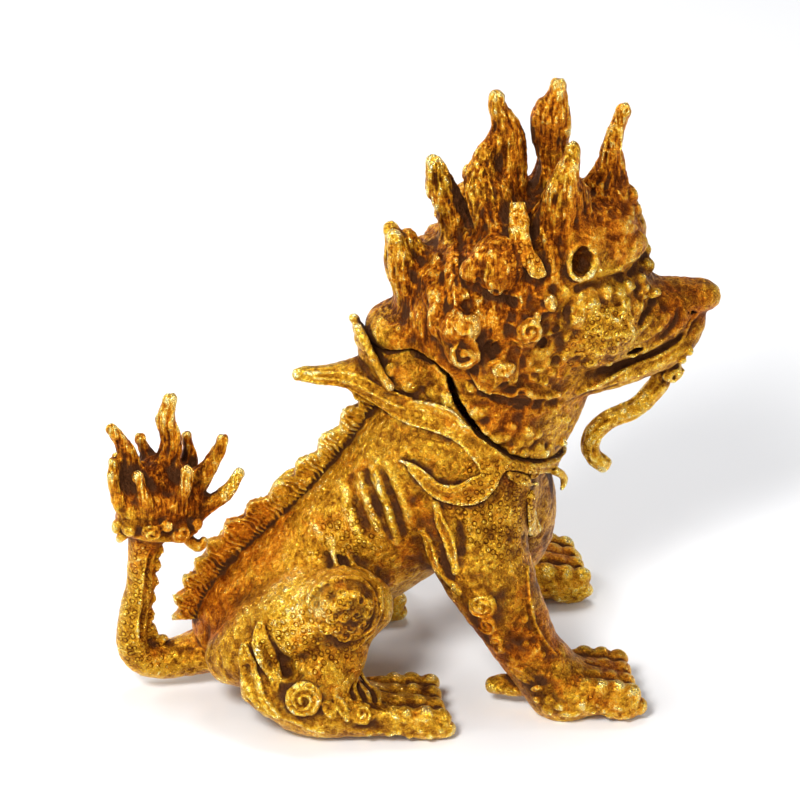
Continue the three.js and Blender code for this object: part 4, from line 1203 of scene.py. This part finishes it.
# %% Lumps, folds and strands
def lattice_noise(points, size, seed):
    """Smooth noise from -1 to 1 with lumps about `size` millimetres across."""
    period = 40
    values = np.random.default_rng(seed).uniform(-1, 1, (period,) * 3)
    at = points / size + 1000.0  # so that no place is negative
    base = np.floor(at).astype(int)
    t = at - base
    t = t * t * (3 - 2 * t)
    total = 0
    for corner in np.ndindex(2, 2, 2):
        weight = np.prod(np.where(corner, t, 1 - t), axis=1)
        index = (base + corner) % period
        total = total + weight * values[index[:, 0], index[:, 1], index[:, 2]]
    return total


SPOT_EDGE = 1.3  # a spot ends at this many times its radius
HAIR = [((12, 0, 156), 30), ((30, 0, 178), 26), ((50, 0, 196), 26), ((30, 0, 206), 24), ((-84, 0, 94), 25)]
FOLDED = [((26, -27, 140), 26), ((66, -14, 168), 16), ((60, -22, 140), 16), ((34, -22, 118), 16)]


def cover(points, spots):
    """How far a point is into the nearest of several round spots, 1 at a middle and 0 past its edge."""
    ways = [np.linalg.norm(points - place, axis=1) / r for place, r in spots]
    return np.max([np.clip(SPOT_EDGE - way, 0, 1) for way in ways], 0)


def hairy(right):
    """1 on the flames and the locks, 0 elsewhere."""
    return np.clip(cover(right, HAIR) * 3, 0, 1)


def to_right(points):
    """Each point, or its mirror image where it is on the left side."""
    return np.where(points[:, 1:2] > 0, points * (1, -1, 1), points)


def unevenness(points):
    """Lumps and pits of the casting, with strands down the hair."""
    rough = 0.2 * lattice_noise(points, 5.2, SEED) + 0.2 * lattice_noise(points, 2.4, SEED + 1)
    rough = rough + 0.1 * lattice_noise(points, 1.3, SEED + 2)
    right = to_right(points)
    sway = points + 1.6 * lattice_noise(points, 6.0, SEED + 7)[:, None]
    fold = np.clip(0.2 - np.abs(lattice_noise(sway, 4.6, SEED + 8)), -0.06, 1)
    rough = rough + fold * (0.3 + 1.6 * np.clip(cover(right, FOLDED) * 2, 0, 1))
    lean = np.stack([points[:, 0] * 1.0 - 0.12 * points[:, 2], points[:, 1], points[:, 2] * 0.2], 1)
    bend = 1.2 * lattice_noise(points, 7.0, SEED + 3)[:, None]
    strand = lattice_noise(lean + bend, 1.25, SEED + 4) + 0.5 * lattice_noise(lean + bend, 2.6, SEED + 5)
    return rough + 0.3 * hairy(right) * strand

# %% [markdown]
# ## Casting each piece
#
# Each field becomes a mesh with its own uneven skin. Plain places are given fewer faces, so that each
# piece stays under its limit. High places are rubbed bright, and deep ones are painted dark, for soot and
# as shade, so each vertex stores how high it stands and how deep it lies, how orange, punched or hairy it
# is, and how much painted highlight or painted shade its soft spot gives it.

# %% The six meshes
# how far the skin's height is averaged, and how far out a hollow is felt for
FINE_REACH, BROAD_REACH, DEPTH_REACHES = 0.9, 2.6, (1.2, 2.5, 4.5)
# place, reach and amount of each soft spot
ORANGE = [
    ((14, -25, 148), 26, 0.8), ((40, 0, 190), 40, 0.7), ((92, -9, 130), 13, 0.7), ((-84, 0, 86), 26, 0.8),
    ((-72, -8, 34), 13, 1.0), ((-60, -4, 58), 13, 0.6), ((26, -40, 30), 20, 0.6), ((60, -40, 12), 14, 0.6),
    ((28, -24, 108), 13, 0.8), ((66, -16, 172), 14, 0.7), ((-4, -22, 66), 14, 0.5),
]
# Painted light: each spot lifts the gold towards a painted highlight, as the hot glint on the upper flank,
# or with a minus amount paints shade, as on the muzzle and the foreleg.
PAINTED_LIGHT_SPOTS = [
    ((-46, -30, 56), 12, 1.5), ((-38, -40, 46), 6, 1.2), ((-20, -26, 80), 18, 0.3), ((24, -34, 66), 14, 0.3),
    ((12, -28, 145), 20, 0.4), ((-40, -40, 26), 14, 0.5), ((90, -8, 132), 16, -0.7),
    ((28, -40, 34), 16, -0.5), ((0, -20, 104), 14, -0.2), ((-84, -8, 76), 20, -0.3),
    ((-95, -5, 34), 18, -0.3), ((62, -20, 134), 14, 0.4), ((30, -28, 82), 15, -0.4),
    ((58, -46, 10), 13, 0.4), ((-50, -40, 42), 9, 0.4),
]
PUNCHED = [
    ((-45, -34, 44), 26), ((-28, -26, 66), 14), ((24, -30, 74), 19), ((60, -24, 130), 15),
    ((-97, -7, 36), 26), ((34, -26, 165), 9), ((54, -40, 10), 14),
]


def vectors(rows, name):
    """One vector from each of a mesh's rows, as an array."""
    out = np.empty(len(rows) * 3, np.float32)
    rows.foreach_get(name, out)
    return out.reshape(-1, 3).astype(float)


def spread(points, spots):
    """The sum of soft round spots at each point."""
    return sum(amount * np.exp(-(((points - place) / reach) ** 2).sum(1)) for place, reach, amount in spots)


def blurred(field, reach):
    """The field averaged over a box `reach` millimetres to each side, twice over."""
    half = max(1, int(round(reach / field.voxel)))
    values = np.clip(field.values, -FAR, FAR)
    for axis in (0, 1, 2, 0, 1, 2):
        ends = [(half + 1, half) if k == axis else (0, 0) for k in range(3)]
        total = np.cumsum(np.pad(values, ends, "edge"), axis=axis, dtype=np.float32)
        count = values.shape[axis]
        later = np.take(total, np.arange(2 * half + 1, 2 * half + 1 + count), axis=axis)
        values = (later - np.take(total, np.arange(count), axis=axis)) / (2 * half + 1)
    out = Field(field.low, field.low, field.voxel)
    out.values, out.shape = values, values.shape
    return out


def depth_in(points, normals):
    """How closed in each point is by all the castings, from 0 in the open to 1 in a deep hollow."""
    total = 0
    for reach in DEPTH_REACHES:
        out = points + normals * reach
        found = np.full(len(points), reach)
        for _, _, _, field, _ in CASTINGS:
            high = field.low + field.voxel * (np.array(field.shape) - 1)
            near = ((out > field.low) & (out < high)).all(1)
            found[near] = np.minimum(found[near], field.sample(out[near]))
        total = total + np.clip(reach - found, 0, reach)
    return total / sum(DEPTH_REACHES)


def store(mesh, name, values):
    layer = mesh.attributes.new(name, "FLOAT", "POINT")
    layer.data.foreach_set("value", np.asarray(values, np.float32))


def cast(name, node, field, whole, most):
    """Makes one piece: mesh, unevenness, fewer faces where it is plain, and what the material asks."""
    points, quads = field.mesh()
    rough = unevenness(points)
    slope = np.stack([field.sample(points + 0.6 * e) - field.sample(points - 0.6 * e) for e in np.eye(3)], 1)
    points = points + unit(slope) * rough[:, None] * (points[:, 2:] > 0.5)
    mesh = bpy.data.meshes.new(name)
    mesh.vertices.add(len(points))
    mesh.vertices.foreach_set("co", (points * MM).ravel())
    mesh.loops.add(quads.size)
    mesh.loops.foreach_set("vertex_index", quads.ravel())
    mesh.polygons.add(len(quads))
    mesh.polygons.foreach_set("loop_start", np.arange(0, quads.size, 4))
    mesh.update(calc_edges=True)
    thing = bpy.data.objects.new(name, mesh)
    bpy.context.scene.collection.objects.link(thing)
    if len(quads) * 2 > most:
        fewer = thing.modifiers.new("fewer", "DECIMATE")
        fewer.ratio = most / (len(quads) * 2)
        bpy.context.view_layer.update()
        seen = thing.evaluated_get(bpy.context.evaluated_depsgraph_get())
        mesh = bpy.data.meshes.new_from_object(seen)
        thing.modifiers.clear()
        thing.data = mesh
        mesh.name = name
    mesh.shade_smooth()
    at, normals = vectors(mesh.vertices, "co") / MM, vectors(mesh.vertex_normals, "vector")
    store(mesh, "fine", blurred(whole, FINE_REACH).sample(at))
    store(mesh, "broad", blurred(whole, BROAD_REACH).sample(at))
    store(mesh, "depth", depth_in(at, normals))
    right = to_right(at)
    store(mesh, "orange", spread(right, ORANGE))
    store(mesh, "rubbed", spread(right, PAINTED_LIGHT_SPOTS))
    store(mesh, "hair", hairy(right))
    store(mesh, "punched", cover(right, PUNCHED) * np.clip((np.abs(normals[:, 1]) - 0.5) / 0.2, 0, 1))
    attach(thing, "root")
    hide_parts(node)
    print(name, len(quads), "faces made,", len(mesh.polygons), "kept")
    return thing


pieces = [cast(*row) for row in CASTINGS]
print("faces in all", sum(len(piece.data.polygons) for piece in pieces))

# %% [markdown]
# ## Gilt bronze
#
# Fire gilding is rubbed bright where hands and cloth reach it. Lower down an orange skin of copper is
# left, and the deepest places hold brown soot and wax, which also stands for painted shade there. Soft
# spots add painted highlights and painted shade. The material sorts the surface by height, depth and noise.

# %% Arithmetic on sockets
class Wire:
    """A socket of a node tree, with arithmetic."""

    def __init__(self, tree, socket):
        self.tree, self.socket = tree, socket

    def node(self, kind, settings=None, out=0, **inputs):
        """Any node: its settings are set first, then its sockets by name, or by number as `at0`."""
        made = self.tree.nodes.new(kind)
        for key, value in (settings or {}).items():
            if key == "stops":
                ramp = made.color_ramp
                while len(ramp.elements) < len(value):
                    ramp.elements.new(0.5)
                for element, (place, colour) in zip(ramp.elements, value):
                    element.position, element.color = place, colour
            else:
                setattr(made, key, value)
        for key, value in inputs.items():
            if key.startswith("at"):
                socket = made.inputs[int(key[2:])]
            else:
                socket = made.inputs[key.replace("_", " ")]
            if isinstance(value, Wire):
                self.tree.links.new(value.socket, socket)
            else:
                socket.default_value = value
        return Wire(self.tree, made.outputs[out]) if len(made.outputs) else None

    def math(self, operation, *values):
        return self.node("ShaderNodeMath", {"operation": operation},
                         **{f"at{i}": v for i, v in enumerate(values)})

    def __add__(self, other):
        return self.math("ADD", self, other)

    def __sub__(self, other):
        return self.math("SUBTRACT", self, other)

    def __mul__(self, other):
        return self.math("MULTIPLY", self, other)

    def __truediv__(self, other):
        return self.math("DIVIDE", self, other)

    def __radd__(self, other):
        return self.math("ADD", other, self)

    def __rsub__(self, other):
        return self.math("SUBTRACT", other, self)

    def __rmul__(self, other):
        return self.math("MULTIPLY", other, self)

    def __rtruediv__(self, other):
        return self.math("DIVIDE", other, self)

    def least(self, other):
        return self.math("MINIMUM", self, other)

    def most(self, other):
        return self.math("MAXIMUM", self, other)

    def size(self):
        return self.math("ABSOLUTE", self)

    def between(self, low, high):
        """0 below `low`, 1 above `high` and smooth in between."""
        return self.node("ShaderNodeMapRange", {"interpolation_type": "SMOOTHSTEP"}, Value=self,
                         From_Min=low, From_Max=high, To_Min=0.0, To_Max=1.0)

    def ramp(self, stops):
        """The colour at this place along a ramp."""
        return self.node("ShaderNodeValToRGB", {"stops": stops}, "Color", Fac=self)

    def mixed(self, first, second):
        """The first colour where this is 0, the second where it is 1."""
        return self.node("ShaderNodeMix", {"data_type": "RGBA"}, 2, Factor=self, at6=first, at7=second)

# %% [markdown]
# ## The gilding
#
# One number, `index`, says how bright the gold is at a point, and two ramps turn it into yellow gold or
# into the orange of thin gilding; the top of each ramp is a painted highlight. Rings made with a punch
# cover the flanks, strands run along the hair, and a scrawl of fine lines stands for the chaser's strokes,
# with a painted glint where they brighten the gold. Depth brings in the soot and painted shade.

# %% Gold, rings, soot and painted shade
def rgb(r, g, b):
    return (r, g, b, 1.0)


PUNCH_PITCH = 2.7  # millimetres between punch rings
PUNCH_RADIUS, PUNCH_EDGE = 0.27, 0.09  # a ring's radius and half its line's width, as parts of the pitch
SCRAWL_HALF = 0.035  # half the width of a stroke, as a difference in the noise that draws it
# The brown of soot and wax in the hollows, used there also as painted shade.
SOOT_AND_SHADE = rgb(0.085, 0.026, 0.004)


def gilt_bronze():
    material = bpy.data.materials.new("gilt_bronze")
    material.use_nodes = True
    tree = material.node_tree
    tree.nodes.clear()
    start = Wire(tree, None)
    place = start.node("ShaderNodeTexCoord", out="Object")
    fine, broad, depth, orange, punched, hair, rubbed = (
        start.node("ShaderNodeAttribute", {"attribute_name": name}, "Fac")
        for name in ("fine", "broad", "depth", "orange", "punched", "hair", "rubbed"))

    def noise(scale, detail, rough=0.55, warp=0.0, where=place):
        """Noise with `scale` lumps to the millimetre."""
        return start.node("ShaderNodeTexNoise", Vector=where, Scale=scale / MM, Detail=detail,
                          Roughness=rough, Distortion=warp)

    grain = noise(1.8, 2.0, 0.6)
    speck = noise(0.6, 3.0, 0.6, 0.6)
    cloud = noise(0.16, 4.0, 0.62, 0.8)
    large = noise(0.04, 2.0)
    long = start.node("ShaderNodeMapping", Vector=place, Scale=(1.0, 1.0, 0.16))
    strand = noise(0.8, 2.0, 0.6, 0.25, long)
    # Fine lines for the chaser's strokes; where they brighten the gold they are a painted glint.
    strokes_and_glint = 1.0 - ((noise(0.5, 1.0, 0.5, 2.2) - 0.5).size() / SCRAWL_HALF).least(1.0)

    split = start.node("ShaderNodeSeparateXYZ", Vector=place)
    across, rise = Wire(tree, split.socket.node.outputs["X"]), Wire(tree, split.socket.node.outputs["Z"])
    side = start.node("ShaderNodeCombineXYZ", X=across + (speck - 0.5) * 0.6 * MM, Y=rise, Z=0.0)
    cell = start.node("ShaderNodeTexVoronoi", {"voronoi_dimensions": "2D"}, "Distance", Vector=side,
                      Scale=1 / (PUNCH_PITCH * MM), Randomness=0.75)
    zone = (punched * 1.6 + (cloud - 0.5) * 2.4).between(0.45, 0.75)
    ring = (1.0 - ((cell - PUNCH_RADIUS).size() / PUNCH_EDGE).least(1.0)) * zone
    pit = (1.0 - (cell / PUNCH_RADIUS).least(1.0)) * zone

    # lit: brighter on ridges, where the gilding is rubbed, and darker where the surface is closed in, which
    # is painted shade.
    lit = fine * 1.15 + broad * 0.2 - depth * 0.55
    warm = (orange + (cloud - 0.5) * 2.2 + (large - 0.5) * 1.2 + 0.12).between(0.1, 0.8)
    index = 0.50 + lit * 0.44 + (speck - 0.5) * 1.2 + (grain - 0.5) * 0.4 + (cloud - 0.5) * 0.9
    # Painted highlight and painted shade from the soft spots.
    index = index + rubbed * 0.26
    # The strokes add a painted glint to the gold.
    index = index - ring * 0.34 + pit * 0.14 - warm * 0.05 + strokes_and_glint * (0.3 - hair * 0.25)
    index = index + (strand - 0.5) * hair * 1.9
    # The near-white top stop of each ramp is a painted highlight for the brightest places.
    yellow = index.ramp((
        (0.0, rgb(0.085, 0.020, 0.003)), (0.28, rgb(0.22, 0.074, 0.006)), (0.48, rgb(0.49, 0.205, 0.012)),
        (0.68, rgb(0.79, 0.43, 0.024)), (0.86, rgb(0.98, 0.68, 0.085)), (1.0, rgb(1.0, 0.9, 0.46))))
    red = index.ramp((
        (0.0, rgb(0.080, 0.018, 0.003)), (0.28, rgb(0.21, 0.046, 0.004)), (0.48, rgb(0.47, 0.125, 0.007)),
        (0.68, rgb(0.72, 0.26, 0.012)), (0.86, rgb(0.93, 0.50, 0.045)), (1.0, rgb(1.0, 0.74, 0.22))))
    # Closed-in places turn soot brown: soot and wax, and painted shade where the surface is deep.
    soot_and_shade = (depth * 1.6 - fine * 1.2 + (cloud - 0.5) * 1.0 + (speck - 0.5) * 1.0).between(0.5, 1.15)
    colour = soot_and_shade.mixed(warm.mixed(yellow, red), SOOT_AND_SHADE)
    relief = (grain - 0.5) * 0.4 + (speck - 0.5) * 1.5 - ring * 0.5 + pit * 0.15 + strokes_and_glint * 0.35
    relief = relief + (strand - 0.5) * hair * 1.8
    bump = start.node("ShaderNodeBump", Height=relief, Strength=0.9, Distance=0.0009)
    shader = start.node(
        "ShaderNodeBsdfPrincipled",
        Base_Color=colour,
        Metallic=1.0 - soot_and_shade * 0.25,
        Roughness=(0.54 - index * 0.34 + soot_and_shade * 0.2 + warm * 0.06).most(0.2),
        Normal=bump,
    )
    start.node("ShaderNodeOutputMaterial", Surface=shader)
    return material


gilt = gilt_bronze()
for piece in pieces:
    piece.data.materials.append(gilt)
print("nodes in the gilding", len(gilt.node_tree.nodes), "on", len(pieces), "pieces")

# %% [markdown]
# ## The floor and the air
#
# The photograph is a cut-out on white, so the room isn't seen. A wide pale floor and a dim, slightly blue
# sky stand in for it, and give the shaded metal something to mirror.

# %% The floor and the air
FLOOR_HALF = 3.0  # metres
PALE, SKY, SKY_STRENGTH = rgb(0.86, 0.86, 0.86), rgb(0.9, 0.92, 1.0), 0.26


def studio():
    """The floor, which is only a stage, and the sky."""
    mesh = bpy.data.meshes.new("floor")
    half = FLOOR_HALF
    corners = [(-half, -half, 0), (half, -half, 0), (half, half, 0), (-half, half, 0)]
    mesh.from_pydata(corners, [], [(0, 1, 2, 3)])
    floor = bpy.data.objects.new("floor", mesh)
    bpy.context.scene.collection.objects.link(floor)
    pale = bpy.data.materials.new("pale_floor")
    pale.use_nodes = True
    shader = pale.node_tree.nodes["Principled BSDF"]
    shader.inputs["Roughness"].default_value = 0.9
    shader.inputs["Base Color"].default_value = PALE
    mesh.materials.append(pale)
    world = bpy.context.scene.world or bpy.data.worlds.new("studio")
    bpy.context.scene.world = world
    world.use_nodes = True
    background = world.node_tree.nodes["Background"]
    background.inputs["Color"].default_value = SKY
    background.inputs["Strength"].default_value = SKY_STRENGTH
    bpy.context.scene.view_settings.view_transform = "Standard"


studio()
print("floor", 2 * FLOOR_HALF, "m wide")

# %% [markdown]
# ## Lamps and camera
#
# Square lamps stand for a photographer's soft boxes. The key is high on the left and small, so the upper
# flank glints and the jaw's underside is dark. The beast is seen from its right flank, a little from
# behind and from well above, through a long lens that draws the near paws and the head at almost one
# scale.

# %% Lamps and camera
AZIMUTH, ELEVATION = -11.0, 28.0  # degrees
DISTANCE = 2.0  # metres
LENS, SENSOR = 270.0, 36.0  # millimetres
TARGET = Vector((-0.0044, 0.0, 0.1016))
LAMPS = [
    ("key", (-0.5, -0.75, 0.95), 0.32, 15), ("left", (-0.9, -0.7, 0.35), 0.5, 3),
    ("fill", (0.9, -0.6, 0.5), 0.5, 2.4), ("top", (0.1, 0.3, 1.2), 0.5, 7),
    ("back", (-0.6, 0.9, 0.6), 0.4, 5),
]


def softbox(name, place, size, watts):
    """A square lamp `size` metres wide that faces the beast."""
    light = bpy.data.lights.new(name, "AREA")
    light.shape, light.size, light.energy = "SQUARE", size, watts
    thing = bpy.data.objects.new(name, light)
    thing.location = place
    thing.rotation_euler = (TARGET - Vector(place)).to_track_quat("-Z", "Y").to_euler()
    bpy.context.scene.collection.objects.link(thing)


for lamp in LAMPS:
    softbox(*lamp)

a, e = math.radians(AZIMUTH), math.radians(ELEVATION)
back = Vector((math.sin(a) * math.cos(e), -math.cos(a) * math.cos(e), math.sin(e)))
lens = bpy.data.cameras.new("camera")
lens.lens, lens.sensor_width, lens.clip_end = LENS, SENSOR, 20.0
camera = bpy.data.objects.new("camera", lens)
camera.location = TARGET + back * DISTANCE
camera.rotation_euler = back.to_track_quat("Z", "Y").to_euler()
bpy.context.scene.collection.objects.link(camera)
bpy.context.scene.camera = camera
print(len(LAMPS), "lamps; camera at", tuple(round(v, 3) for v in camera.location))
